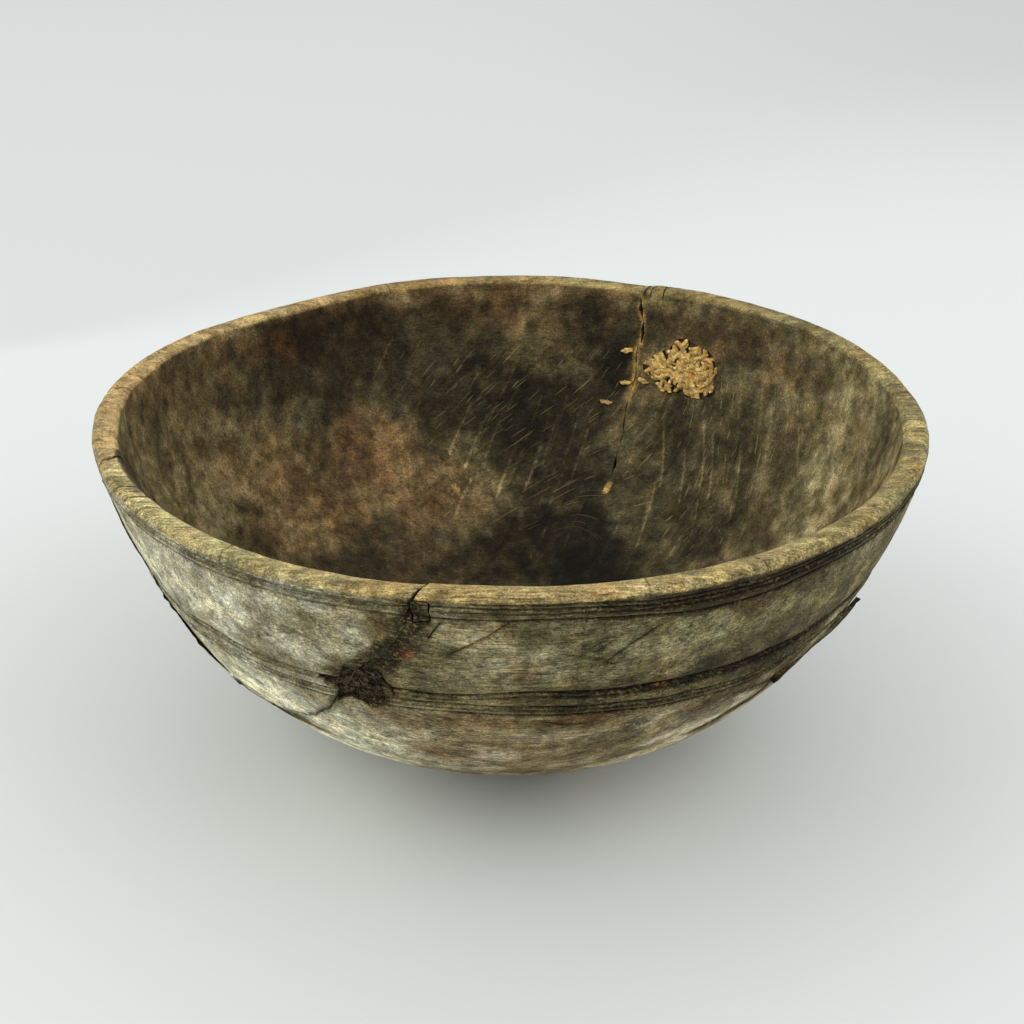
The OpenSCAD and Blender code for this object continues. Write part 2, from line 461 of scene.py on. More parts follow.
def side_ways(pts, closed=True):
    """Unit vectors across an outline or a route, per mm, in degrees of azimuth and dip."""
    if closed:
        ahead = np.roll(pts, -1, 0) - np.roll(pts, 1, 0)
    else:
        ahead = np.gradient(pts, axis=0)
    squash = np.cos(np.radians(np.clip(pts[:, 1], 0, 60)))
    n = np.stack([-ahead[:, 1], ahead[:, 0] * squash], 1)
    n /= np.maximum(np.linalg.norm(n, axis=1), 1e-9)[:, None]
    if closed and np.sum((pts - pts.mean(0)) * n) < 0:
        n = -n
    return np.stack([n[:, 0] / squash, n[:, 1]], 1) * 180 / math.pi / RIM_R


def wall_solid(name, outer, inner=None, shares=(0, 1), spread=0.0, ragged=0.0, seed=1, count=120,
               rings=8, relief=None):
    """A closed solid between shares of the wall, inside one outline on the outside of the wall and
    another on the inside. spread moves its sides out by mm, ragged makes them uneven, and relief
    moves its last face by mm."""
    out_pts = even_steps(outer, count)
    in_pts = out_pts if inner is None else even_steps(inner, count)
    edges = []
    for share in shares:
        t = min(max(share, 0), 1)
        pts = in_pts + (out_pts - in_pts) * t
        where = on_wall(pts[:, 0], pts[:, 1], t)
        move = ragged * fractal(where, 9, seed, 3) + 0.35 * ragged * value_noise(where, 1.8, seed + 3)
        amount = spread(pts) if callable(spread) else spread
        edges.append(pts + side_ways(pts) * (move + amount)[:, None])
    fill = 1 - np.arange(1, rings) / rings

    def face_points(pts, share, offset):
        middle = pts.mean(0)
        inside = np.concatenate([middle + f * (pts - middle) for f in fill] + [middle[None]])
        p = on_wall(inside[:, 0], inside[:, 1], share)
        if offset is not None:
            p = p + towards(inside[:, 0], inside[:, 1]) * offset(inside[:, 0], inside[:, 1])[:, None]
        return p

    sides = [on_wall(pts[:, 0], pts[:, 1], share) for pts, share in zip(edges, shares)]
    first = face_points(edges[0], shares[0], None)
    last = face_points(edges[-1], shares[-1], relief)
    verts = np.concatenate([*sides, first, last])
    j = np.arange(count)
    k = (j + 1) % count
    quads, tris = [], []

    def strip(a, b):
        quads.append(np.stack([a + j, a + k, b + k, b + j], 1))

    for layer in range(len(shares) - 1):
        strip(layer * count, (layer + 1) * count)
    all_sides = len(shares) * count
    for edge, start in ((0, all_sides), (all_sides - count, all_sides + len(first))):
        starts = [edge] + [start + i * count for i in range(rings - 1)]
        for a, b in zip(starts, starts[1:]):
            strip(a, b)
        tip = start + (rings - 1) * count
        tris.append(np.stack([starts[-1] + j, starts[-1] + k, np.full(count, tip)], 1))
    obj = make_object(name, verts, *quads, *tris)
    face_out(obj)
    return obj


def skin_offset(az, dip, outer):
    """Where the finished surface lies, as mm away from the rim's middle and mm up."""
    p = on_wall(az, dip, 1.0 if outer else 0.0)
    push = skin_push(p, np.full(len(p), outer))
    push = (push if outer else -push) + out_of_round(az, p[:, 2])
    return push, rim_level(turn_between(az, 0)) * smooth(60, RIM_Z, p[:, 2])


def loft(name, verts, size, count):
    """A closed solid through count rings of size vertices each, with flat ends."""
    j = np.arange(size)
    k = (j + 1) % size
    quads = [np.stack([i * size + j, i * size + k, (i + 1) * size + k, (i + 1) * size + j], 1)
             for i in range(count - 1)]
    start = [list(range(size))]
    end = [[(count - 1) * size + i for i in range(size)][::-1]]
    obj = make_object(name, verts, np.concatenate(quads), start, end)
    face_out(obj)
    return obj


def groove_tool(name, route, half_width, levels, widths, seed, step=0.9, wander=0.35, taper=0.5, skin=None):
    """A closed cutter along a route. Its section has the given part of half_width at each level,
    which is a share of the wall, and it tapers to its two ends over a part of its length. skin
    tells which finished surface it follows: True the outside, False the inside, None neither."""
    length = np.hypot(*np.diff(np.array(route, float), axis=0).T).sum() * math.pi * RIM_R / 180
    count = max(8, int(length / step))
    pts = even_steps(route, count, closed=False)
    where = on_wall(pts[:, 0], pts[:, 1], 1)
    across = side_ways(pts, closed=False)
    pts = pts + across * (wander * fractal(where, 6, seed, 3))[:, None]
    t = np.linspace(0, 1, count)
    ends = np.clip(np.minimum(t, 1 - t) / taper, 0.02, 1) ** 0.6
    width = half_width * ends * (1 + 0.45 * value_noise(where, 3.0, seed + 5))
    out, up = (0 * t, 0 * t) if skin is None else skin_offset(pts[:, 0], pts[:, 1], skin)

    def side(sign, level, part):
        az, dip = (pts + sign * across * (width * part)[:, None]).T
        p = on_wall(az, dip, level) + towards(az, dip) * out[:, None]
        p[:, 2] += up
        return p

    rims = list(zip(levels, widths))
    ring = [side(1, level, part) for level, part in rims]
    ring += [side(-1, level, part) for level, part in reversed(rims)]
    return loft(name, np.stack(ring, 1).reshape(-1, 3), len(ring), count)


def v_cut(name, route, half_width, depth, seed, side="out", **more):
    """A V-shaped cutter on one face of the wall: half_width and depth in mm."""
    if side == "out":
        levels = (1.25, 1.0, 1 - 0.7 * depth / RIM_W, 1 - depth / RIM_W)
    else:
        levels = (-0.25, 0.0, 0.7 * depth / RIM_W, depth / RIM_W)
    return groove_tool(
        name, route, half_width, levels, (1.3, 1.0, 0.45, 0.08), seed, skin=side == "out", **more)


def slit(name, route, half_width, seed, low=-0.4, high=1.5, **more):
    """A cutter right through the wall, or between two shares of it."""
    middle = 0.5 * (low + high)
    return groove_tool(name, route, half_width, (high, 1.0, middle, 0.0, low), (1, 1, 0.8, 1, 1), seed,
                       **more)


# ---------------------------------------------------------------- breaks
OVER_RIM = -12
# Where the broken-out piece ends on the outside of the wall and on the inside
FRAGMENT_OUT = [
    (-101.6, OVER_RIM), (-101.6, 0.4), (-102.4, 3.4), (-102.8, 5), (-104.2, 7.6), (-106.4, 10.4),
    (-109.8, 13.6), (-112.4, 17), (-114.4, 20.2), (-117.4, 24.6), (-121, 27.8), (-124, 30), (-128.6, 31.4),
    (-134, 30.6), (-140, 31.4), (-146, 30.6), (-149, 27), (-152, 22.6), (-155, 18), (-157, 13.6),
    (-159.4, 7), (-160.4, 1), (-160.4, OVER_RIM),
]
FRAGMENT_IN = [
    (-99.8, OVER_RIM), (-99.8, 0.4), (-101.0, 3), (-102.8, 6), (-106, 10), (-109, 14), (-112, 18),
    (-116, 23), (-120, 27), (-125, 29.6), (-130, 30), (-136, 30), (-142, 29.4), (-147, 28), (-150, 25),
    (-153.5, 20), (-156.5, 15), (-159, 10), (-161.4, 5), (-162, 1), (-162, OVER_RIM),
]
FRAGMENT_STEPS = 420
FRAGMENT_RAGGED = 0.9
FRAGMENT_SEED = 71
FRAGMENT_SHARES = (-0.8, 0, 0.2, 0.4, 0.6, 0.8, 1, 1.6)

CHIP = [(-101.8, 1.2), (-99.7, 1.3), (-99.6, 4.1), (-101.6, 4.4)]
DARK_FILL = [
    (-107.0, 13.8), (-106.6, 15.6), (-107.8, 17.0), (-107.0, 19.2), (-109.4, 19.6), (-110.2, 21.6),
    (-112.6, 20.4), (-115.4, 22.4), (-114.2, 19.2), (-117.2, 17.0), (-113.4, 16.2), (-112.0, 13.8),
    (-109.6, 14.4),
]
LEFT_SPLINTER = [(-146, 32.3), (-140, 32.5), (-134.5, 33), (-135.5, 34.6), (-142, 35.4), (-147, 33.8)]
RIGHT_UPPER = [(-36, 25), (-31, 22), (-26.5, 19.5), (-25.5, 22), (-30, 25.5), (-35, 27.6)]
RIGHT_LOWER = [(-46, 25), (-42, 24.6), (-38, 26), (-39, 28.3), (-43, 28), (-46, 26.8)]
PATCH_MIDDLE = (56.5, 12.4)
PATCH_HALF = (7.4, 4.9)
HEAP_HALF_MM = (21.5, 14.2)
HEAP_STRINGS = 150
HEAP_FLOOR = 0.9
HEAP_HEIGHT = 2.6
CRUMBS = [(68.2, 10.6), (67.7, 16.4), (71.0, 20.4), (64.3, 15.6)]

# Long cracks
BACK_CRACK = [
    (66.1, OVER_RIM), (66.3, 0), (66.9, 2.5), (65.9, 5), (65.8, 8), (66.5, 11), (66.1, 14), (66.3, 17),
]
# The open parts of that crack: routes and half widths
BACK_GAPS = [
    ([(66.1, OVER_RIM), (66.3, 0), (66.8, 1.5)], 0.4), ([(66.9, 1.2), (66.8, 3), (66.1, 4.9)], 1.1),
    ([(66.0, 5.1), (65.8, 7), (65.9, 9.2)], 0.95), ([(66.3, 9.2), (66.6, 11), (66.2, 13.6)], 0.45),
    ([(66.1, 13.4), (66.0, 15), (66.4, 17.4)], 0.55),
]
BACK_CRACK_CLOSED = [(66.3, 16.5), (66.9, 21), (66.5, 26), (66.9, 30)]
BACK_SLOT = [(66.9, 29.6), (66.6, 32), (67.0, 34.2)]
RIM_EDGE_CRACK = [(-163, 1.9), (-157, 1.8), (-150, 1.7), (-141, 2.0)]
BLACK_HOLE = [(-107.6, 14.2), (-106.4, 16.2), (-105.7, 18.2)]
RIGHT_SPLIT = [
    (-53, 25.2), (-46, 26.3), (-40.5, 26.4), (-36.8, 28.2), (-33, 27.2), (-30, 23.6), (-27, 20.6),
    (-20, 18.6), (-12, 19.5),
]
RIGHT_BRANCH = [(-57, 35.4), (-52, 33.4), (-48, 31.6), (-45.2, 29.4), (-45.6, 26.8)]
LEFT_LEDGE = [(-127, 33.0), (-133, 34.6), (-141, 36.4), (-149, 35.6), (-156, 31), (-161, 25)]

# Scratches: each is its route, half width and depth
SCRATCHES_OUT = [
    ([(-90.5, 3.9), (-93, 6.1), (-97.8, 9.4)], 0.50, 0.6),
    ([(-72.2, 6.0), (-75.4, 8.4), (-78.5, 11.2)], 0.60, 0.9), ([(-76.1, 6.2), (-80, 9.4)], 0.3, 0.3),
    ([(-77.6, 6.3), (-81, 9.0)], 0.25, 0.25), ([(-98.3, 4.1), (-99.2, 5.4), (-100.1, 7.0)], 0.4, 1.2),
    ([(-86, 22.5), (-83, 23.6), (-79.5, 23.8)], 0.5, 0.9),
    ([(-84, 9.2), (-79, 10.4), (-77, 12)], 0.35, 0.3),
    ([(-121, 10.4), (-117.6, 9.2), (-115, 10.2)], 0.35, 0.3), ([(-124.5, 12.0), (-121.5, 11.2)], 0.3, 0.3),
    ([(30, 9), (44, 10.5), (52, 9.8)], 0.35, 0.5), ([(96, 24), (103, 27)], 0.4, 0.6),
    ([(140, 6), (146, 12)], 0.4, 0.5), ([(176, 22), (187, 24.5), (193, 24)], 0.45, 1.2),
]
SCRATCHES_IN = [
    ([(96, 15), (99.5, 20.5)], 0.35, 0.2), ([(98.5, 22), (104, 31)], 0.4, 0.25),
    ([(95, 24), (101, 34)], 0.3, 0.2), ([(91.5, 23), (96, 32)], 0.35, 0.2),
    ([(89, 19), (92.5, 26.5)], 0.3, 0.2), ([(88.5, 29), (94, 40)], 0.4, 0.25),
    ([(84, 20), (87, 29)], 0.3, 0.2), ([(83.5, 30), (88, 41)], 0.3, 0.2),
    ([(80.5, 23), (83, 33)], 0.3, 0.2), ([(77.5, 33), (81, 43)], 0.35, 0.25),
    ([(74, 26), (76.5, 38)], 0.3, 0.2), ([(72, 40), (74, 50)], 0.35, 0.25),
    ([(52, 26), (48.5, 36)], 0.3, 0.2), ([(47, 22), (42, 33)], 0.3, 0.2), ([(56, 34), (54, 43)], 0.3, 0.2),
    ([(88.5, 13), (92, 20)], 0.3, 0.25), ([(92.4, 20.5), (98.5, 31)], 0.45, 0.35),
    ([(86, 27), (91, 37.5)], 0.4, 0.3), ([(82.5, 25), (86, 37)], 0.35, 0.25),
    ([(79, 20), (81.8, 31)], 0.3, 0.25), ([(80, 34), (84, 44)], 0.35, 0.3),
    ([(76, 22), (78.4, 33)], 0.3, 0.2), ([(55.8, 38), (53.6, 45), (51.6, 53)], 0.5, 0.35),
    ([(58.5, 22), (54.6, 34)], 0.3, 0.2), ([(50, 20), (45, 32)], 0.3, 0.25),
    ([(45, 32.6), (40, 42)], 0.35, 0.25), ([(61, 44), (62.8, 53)], 0.35, 0.3),
    ([(80.6, 46.5), (84, 53)], 0.35, 0.3), ([(40, 22), (33.5, 35)], 0.3, 0.25),
    ([(99.5, 36), (105, 43)], 0.4, 0.3), ([(30, 12), (24, 21)], 0.3, 0.2),
    ([(112, 8), (117, 15)], 0.3, 0.2), ([(-40, 20), (-46, 36)], 0.35, 0.3),
    ([(-60, 28), (-55, 44)], 0.35, 0.3), ([(-86, 18), (-92, 33)], 0.35, 0.3),
    ([(-118, 34), (-110, 47)], 0.4, 0.3),
]
# Short checks in the end grain of the rim and nicks in it: azimuth outside and inside, half width
RIM_CHECKS = [
    (-127.1, -127.9, 0.2), (-153.8, -151.8, 0.20), (-152.0, -149.9, 0.32), (-150.3, -148.2, 0.24),
    (-148.5, -146.3, 0.36), (-146.6, -144.3, 0.22), (-144.7, -142.3, 0.28), (-142, -139.4, 0.16),
    (-137.4, -134.6, 0.2), (64.9, 65.2, 0.3), (63.2, 62.8, 0.4), (8, 7.6, 0.2), (-6, -5.7, 0.25),
    (-10, -9.5, 0.2), (173, 173.6, 0.25), (168, 168.8, 0.2), (-74, -73.7, 0.14), (-58.5, -58.8, 0.16),
    (112, 111.6, 0.16),
]
# The carved lines that are cut sharp: a line's depths, mm below it, half width and depth of cut
SHARP_LINES = [
    (LINE_UPPER_1, -2.3, 0.35, 0.4), (LINE_UPPER_1, 0, 0.42, 0.65), (LINE_UPPER_1, 1.9, 0.28, 0.35),
    (LINE_UPPER_2, 0, 0.36, 0.55), (LINE_LOWER, 0, 0.7, 1.0), (LINE_LOWER, 2.0, 0.35, 0.5),
    (LINE_RIDGE, 2.4, 0.42, 0.6), (LINE_RIDGE, 4.3, 0.3, 0.35), (LINE_RIDGE, 7.4, 0.4, 0.5),
]


def fragment_gap(pts):
    """Half the width of the crack round the broken-out piece, in mm, along its outline."""
    az, dip = pts[:, 0], pts[:, 1]
    lower_left = smooth(-141, -147, az) * smooth(14, 22, dip) * smooth(34, 31, dip)
    near_dark = smooth(-116, -110, az) * smooth(8, 14, dip)
    at_rim = smooth(3.5, 2.0, dip) * (0.35 + 0.25 * smooth(-120, -110, az))
    return 0.2 + 0.5 * lower_left + 0.35 * near_dark + at_rim


def fragment_plug(name, grow):
    """The broken-out piece's solid, or with grow=1 the hole that it came out of."""
    return wall_solid(
        name, FRAGMENT_OUT, FRAGMENT_IN, FRAGMENT_SHARES, lambda pts: grow * fragment_gap(pts),
        FRAGMENT_RAGGED, FRAGMENT_SEED, FRAGMENT_STEPS, 14)


def break_route(share):
    """The ragged edge of the broken-out piece below the rim, at a share of the wall."""
    out_pts, in_pts = (even_steps(pts, FRAGMENT_STEPS) for pts in (FRAGMENT_OUT, FRAGMENT_IN))
    pts = in_pts + (out_pts - in_pts) * share
    where = on_wall(pts[:, 0], pts[:, 1], share)
    move = FRAGMENT_RAGGED * fractal(where, 9, FRAGMENT_SEED, 3)
    pts = pts + side_ways(pts) * move[:, None]
    return pts[pts[:, 1] > 2.5]


def line_route(line, below):
    """A carved line as a route round the outside, with its ends at the back."""
    az = np.arange(92, 450.1, 1.5)
    depth = round_route(turn_between(az, 0), line) + below
    flat_r = np.interp(-depth, OUTER[::-1, 1] - RIM_Z, OUTER[::-1, 0])
    return list(zip(az, np.degrees(np.arctan2(depth, flat_r))))


def worn_break_tool(share, seed):
    """The cutter that chips the edges of the break, on one face of the wall."""
    side = "out" if share > 0.5 else "in"
    return v_cut("chipped_edge", break_route(share), 0.75, 0.9, seed, side, step=1.2, wander=0.3)


def rim_check_tool(outer_az, inner_az, half_width, seed):
    """A cutter for one check that crosses the rim."""
    depth_dip = 0.35 + 3.5 * half_width
    slant = 0.5 * (outer_az - inner_az)
    turns = [
        (outer_az + slant, 1.5), (outer_az, 1.0), (0.5 * (outer_az + inner_az), 0.5), (inner_az, 0.0),
        (inner_az - slant, -0.5),
    ]
    dips = np.linspace(OVER_RIM, depth_dip, 9)
    wide = half_width * 180 / math.pi / RIM_R
    part = np.where(dips < 0, 1, np.clip(1 - dips / depth_dip, 0.05, 1))
    rings = []
    for dip, w in zip(dips, part):
        sides = [on_wall(az + wide * w, dip, share) for az, share in turns]
        sides += [on_wall(az - wide * w, dip, share) for az, share in reversed(turns)]
        rings.append(np.array(sides))
    verts = np.concatenate(rings)
    verts += 0.12 * np.stack([value_noise(verts, 2.5, seed + i) for i in range(3)], 1)
    return loft("rim_check", verts, len(turns) * 2, len(dips))


# ---------------------------------------------------------------- the pieces
def patch_outline():
    """The filling's edge: a rounded patch with a few lobes."""
    t = np.radians(np.arange(0, 360, 12))
    size = 1 + 0.10 * np.sin(3 * t + 0.6) + 0.08 * np.sin(5 * t + 2.0) + 0.05 * np.sin(8 * t)
    az = PATCH_MIDDLE[0] + PATCH_HALF[0] * size * np.cos(t)
    return np.stack([az, PATCH_MIDDLE[1] + PATCH_HALF[1] * size * np.sin(t)], 1)


def wall_plan(az, dip, middle):
    """Places round a point of the inside wall, as mm to its left and mm below it."""
    far = float(wall_distance(INNER, middle[1])) * math.pi / 180
    return (az - middle[0]) * math.cos(math.radians(middle[1])) * far, (dip - middle[1]) * far


def worm_heights(az, dip, middle, half, count, seed):
    """Height in mm of a heap of short rolled strings of filling, at places on the inside wall."""
    rng = np.random.default_rng(seed)
    u, v = wall_plan(az, dip, middle)
    height = np.full(len(u), -HEAP_FLOOR)
    for _ in range(count):
        turn, spread = rng.uniform(0, 2 * math.pi), math.sqrt(rng.uniform(0, 1))
        cu, cv = half[0] * spread * math.cos(turn), half[1] * spread * math.sin(turn)
        angle, length = rng.uniform(0, math.pi), rng.uniform(1.4, 4.2)
        bend, radius = rng.uniform(-0.16, 0.16), rng.uniform(0.7, 1.75)
        along = (u - cu) * math.cos(angle) + (v - cv) * math.sin(angle)
        across = (v - cv) * math.cos(angle) - (u - cu) * math.sin(angle) - bend * along**2
        off = np.hypot(np.maximum(np.abs(along) - length, 0), across)
        round_top = np.sqrt(np.maximum(radius**2 - off**2, 0))
        height = np.maximum(height, np.where(off < radius, round_top + rng.uniform(-0.35, 0.55), -HEAP_FLOOR))
    return height


def put_attribute(obj, name, values, kind="FLOAT"):
    """Keeps one value (FLOAT) or four (FLOAT_COLOR) for each vertex."""
    layer = obj.data.attributes.new(name, kind, "POINT")
    layer.data.foreach_set("value" if kind == "FLOAT" else "color", np.asarray(values, np.float32).ravel())


def pale_patch():
    """The golden filling: a heap of rolled strings pressed into its pocket, and three crumbs."""
    def strings(az, dip):
        p = on_wall(az, dip, 0)
        lumps = 0.5 * fractal(p, 5, 83, 2) + 0.15 * value_noise(p, 1.2, 85)
        heap = worm_heights(az, dip, PATCH_MIDDLE, HEAP_HALF_MM, HEAP_STRINGS, 81)
        return -heap - lumps + skin_offset(az, dip, False)[0]

    steps, rings = int(300 * FINENESS), int(78 * FINENESS)
    pieces = [wall_solid("patch", patch_outline(), shares=(0.22, 0.1, 0.02), count=steps, rings=rings,
                         relief=strings, seed=5)]
    for number, middle in enumerate(CRUMBS):
        t = np.radians(np.arange(0, 360, 24))
        size = 0.7 + 0.2 * np.sin(2 * t + number) + 0.16 * np.sin(5 * t + 2 * number)
        outline = np.stack([middle[0] + 1.5 * size * np.cos(t), middle[1] + 0.7 * size * np.sin(t)], 1)
        pieces.append(wall_solid(
            "crumb", outline, shares=(0.06, -0.02), count=int(60 * FINENESS), rings=int(16 * FINENESS),
            seed=9,
            relief=lambda az, dip, m=middle, n=number: -worm_heights(az, dip, m, (1.6, 1.2), 9, 90 + n)
            + skin_offset(az, dip, False)[0]))
    obj = join("pale_patch_filling", pieces)
    p = vertices(obj)
    proud = -(share_of(p)) * RIM_W
    put_attribute(obj, "height", np.clip((proud + HEAP_FLOOR) / HEAP_HEIGHT, 0, 1))
    return obj


def dark_fill():
    """The crumbly dark mass in the front crack."""
    def crumbly(az, dip):
        p = on_wall(az, dip, 1)
        rough = 0.9 * fractal(p, 6, 301, 3, 0.7) + 0.6 * np.abs(value_noise(p, 1.7, 307))
        return -0.7 + rough + skin_offset(az, dip, True)[0]

    obj = wall_solid(
        "dark_fill_mass", DARK_FILL, shares=(0.6, 0.75, 0.88, 0.93), spread=-0.1, ragged=1.5, seed=33,
        count=int(180 * FINENESS), rings=int(40 * FINENESS), relief=crumbly)
    p = vertices(obj)
    put_attribute(obj, "height", np.clip(0.5 + 0.5 * fractal(p, 5, 301, 3, 0.7), 0, 1))
    return obj


def gum_seam():
    """The gum in the crack round the broken-out piece, in the middle of the wall."""
    route = break_route(0.5)
    route = route[route[:, 1] > 4.5]
    return groove_tool("gum_seam", route, 0.5, (0.72, 0.6, 0.5, 0.4, 0.28), (0.7, 1, 1, 1, 0.7), 41,
                       step=1.5, wander=0.05)


def loose_bit(whole, name, outline, floor, lift, seed, gap):
    """A sliver of the bowl's own wood inside an outline, moved out by lift(az, dip) in mm, and the
    pocket tool that it sits in."""
    tool = wall_solid("bit", outline, shares=(floor, 0.8, 1, 1.6), spread=-0.25, ragged=0.5, seed=seed)
    pocket = wall_solid(
        "pocket", outline, shares=(floor - 0.04, 0.8, 1, 1.6), spread=gap, ragged=0.5, seed=seed)
    piece = copy_object(whole, name)
    cut(piece, tool, "INTERSECT")
    drop(tool)
    p = vertices(piece)
    az, dip = az_dip(p)
    move_vertices(piece, p + towards(az, dip) * lift(az, dip)[:, None])
    return piece, pocket


def set_back(fragment):
    """The mended piece stands a little off its old place."""
    p = vertices(fragment)
    az, dip = az_dip(p)
    out = 0.35 - 0.8 * smooth(-140, -150, az) * smooth(2, 8, dip)
    p = p + towards(az, 0 * dip) * out[:, None]
    p[:, 2] -= 0.45 + 0.25 * smooth(-130, -104, az)
    move_vertices(fragment, p)


def scratch_tool(name, scratches, side, seed):
    """One cutter for a table of scratches."""
    return join(name, [v_cut("scratch", route, half, depth, seed + 3 * i, side, wander=0.2)
                       for i, (route, half, depth) in enumerate(scratches)])


def crack_tools():
    """The cutters of the cracks, the hole by the dark fill and the scratches."""
    return [
        *[slit("back_gap", route, half, 180 + 4 * i, wander=0.3, step=0.5)
          for i, (route, half) in enumerate(BACK_GAPS)],
        v_cut("closed_crack", BACK_CRACK_CLOSED, 0.3, 1.6, 203, "in"),
        v_cut("back_slot", BACK_SLOT, 0.75, 5, 205, "in", step=0.5),
        v_cut("rim_edge", RIM_EDGE_CRACK, 0.85, 2.6, 207, "in", wander=0.15, step=0.6),
        v_cut("black_hole", BLACK_HOLE, 1.3, 4.5, 209, step=0.5),
        v_cut("right_split", RIGHT_SPLIT, 1.0, 5.5, 211, wander=0.7),
        v_cut("right_branch", RIGHT_BRANCH, 0.8, 3.5, 213, wander=0.6),
        v_cut("left_ledge", LEFT_LEDGE, 0.9, 3.0, 215, wander=0.6),
        scratch_tool("scratches_out", SCRATCHES_OUT, "out", 221),
        scratch_tool("scratches_in", SCRATCHES_IN, "in", 301),
    ]


def line_tools():
    """The cutters of the sharp carved lines."""
    return [v_cut("line", line_route(line, below), half, deep, 230 + 4 * i, wander=0.35, taper=0.01, step=1.1)
            for i, (line, below, half, deep) in enumerate(SHARP_LINES)]


def build():
    """All the bowl's own pieces, by name."""
    whole = make_object("whole", *whole_bowl())
    hole = fragment_plug("hole", 1)
    plug = fragment_plug("plug", -1)
    body = copy_object(whole, "bowl_body_wood")
    fragment = copy_object(whole, "wall_fragment_wood")
    cut(body, hole)
    cut(fragment, plug, "INTERSECT")

    lifts = {
        "rim_chip": lambda az, dip: -0.3 + 0 * az,
        "left_splinter": lambda az, dip: 0.4 + 1.2 * smooth(-136, -147, az) * smooth(33, 35, dip),
        "right_splinter_upper": lambda az, dip: 0.3 + 2.4 * smooth(-34, -26, az),
        "right_splinter_lower": lambda az, dip: 0.3 + 1.8 * smooth(-39, -46, az),
    }
    # Outline, share of the wall that the bit starts at, seed, and the gap round it in mm
    bits = {
        "rim_chip": (CHIP, 0.5, 51, 0.5),
        "left_splinter": (LEFT_SPLINTER, 0.66, 53, 0.25),
        "right_splinter_upper": (RIGHT_UPPER, 0.66, 55, 0.25),
        "right_splinter_lower": (RIGHT_LOWER, 0.66, 57, 0.25),
    }
    loose, pockets = {}, []
    for node, (outline, floor, seed, gap) in bits.items():
        loose[node], pocket = loose_bit(whole, node + "_wood", outline, floor, lifts[node], seed, gap)
        pockets.append(pocket)
    fill_pocket = wall_solid(
        "pocket", DARK_FILL, shares=(0.58, 0.75, 1, 1.5), spread=0.02, ragged=1.5, seed=33)
    patch_pocket = wall_solid("pocket", patch_outline(), shares=(0.23, 0.1, -0.6), spread=0.02, seed=5)
    drop(whole, plug, hole)

    chip_pocket = pockets[0]
    pockets += [fill_pocket, patch_pocket]
    for pocket in pockets:
        cut(body, pocket)
    cut(fragment, fill_pocket)
    cut(fragment, chip_pocket)
    drop(*pockets)

    for tool in (worn_break_tool(1, 61), worn_break_tool(0, 63)):
        cut(body, tool)
        cut(fragment, tool)
        drop(tool)
    tools = crack_tools()
    by_name = {tool.name: tool for tool in tools}
    lines = line_tools()
    checks = join("checks", [rim_check_tool(*check, 401 + 5 * i) for i, check in enumerate(RIM_CHECKS)])
    for tool in (*tools, *lines, checks):
        cut(body, tool)
    for tool in (by_name["rim_edge"], by_name["scratches_out"], *lines, checks):
        cut(fragment, tool)
    for tool in lines:
        cut(loose["rim_chip"], tool)
    drop(*tools, *lines, checks)
    set_back(fragment)
    return {
        "bowl_body": body, "wall_fragment": fragment, **loose, "dark_fill": dark_fill(),
        "pale_patch": pale_patch(), "fragment_gum_seam": gum_seam(),
    }


# ---------------------------------------------------------------- paint
# Near-black that is painted into the cracks on the rim as their painted shade
CRACK_SHADE_BLACK = np.array([0.012, 0.009, 0.006])
RIM_TINT = np.array([1.02, 1.05, 0.90])
GOLDEN_DUST = np.array([0.42, 0.27, 0.085])
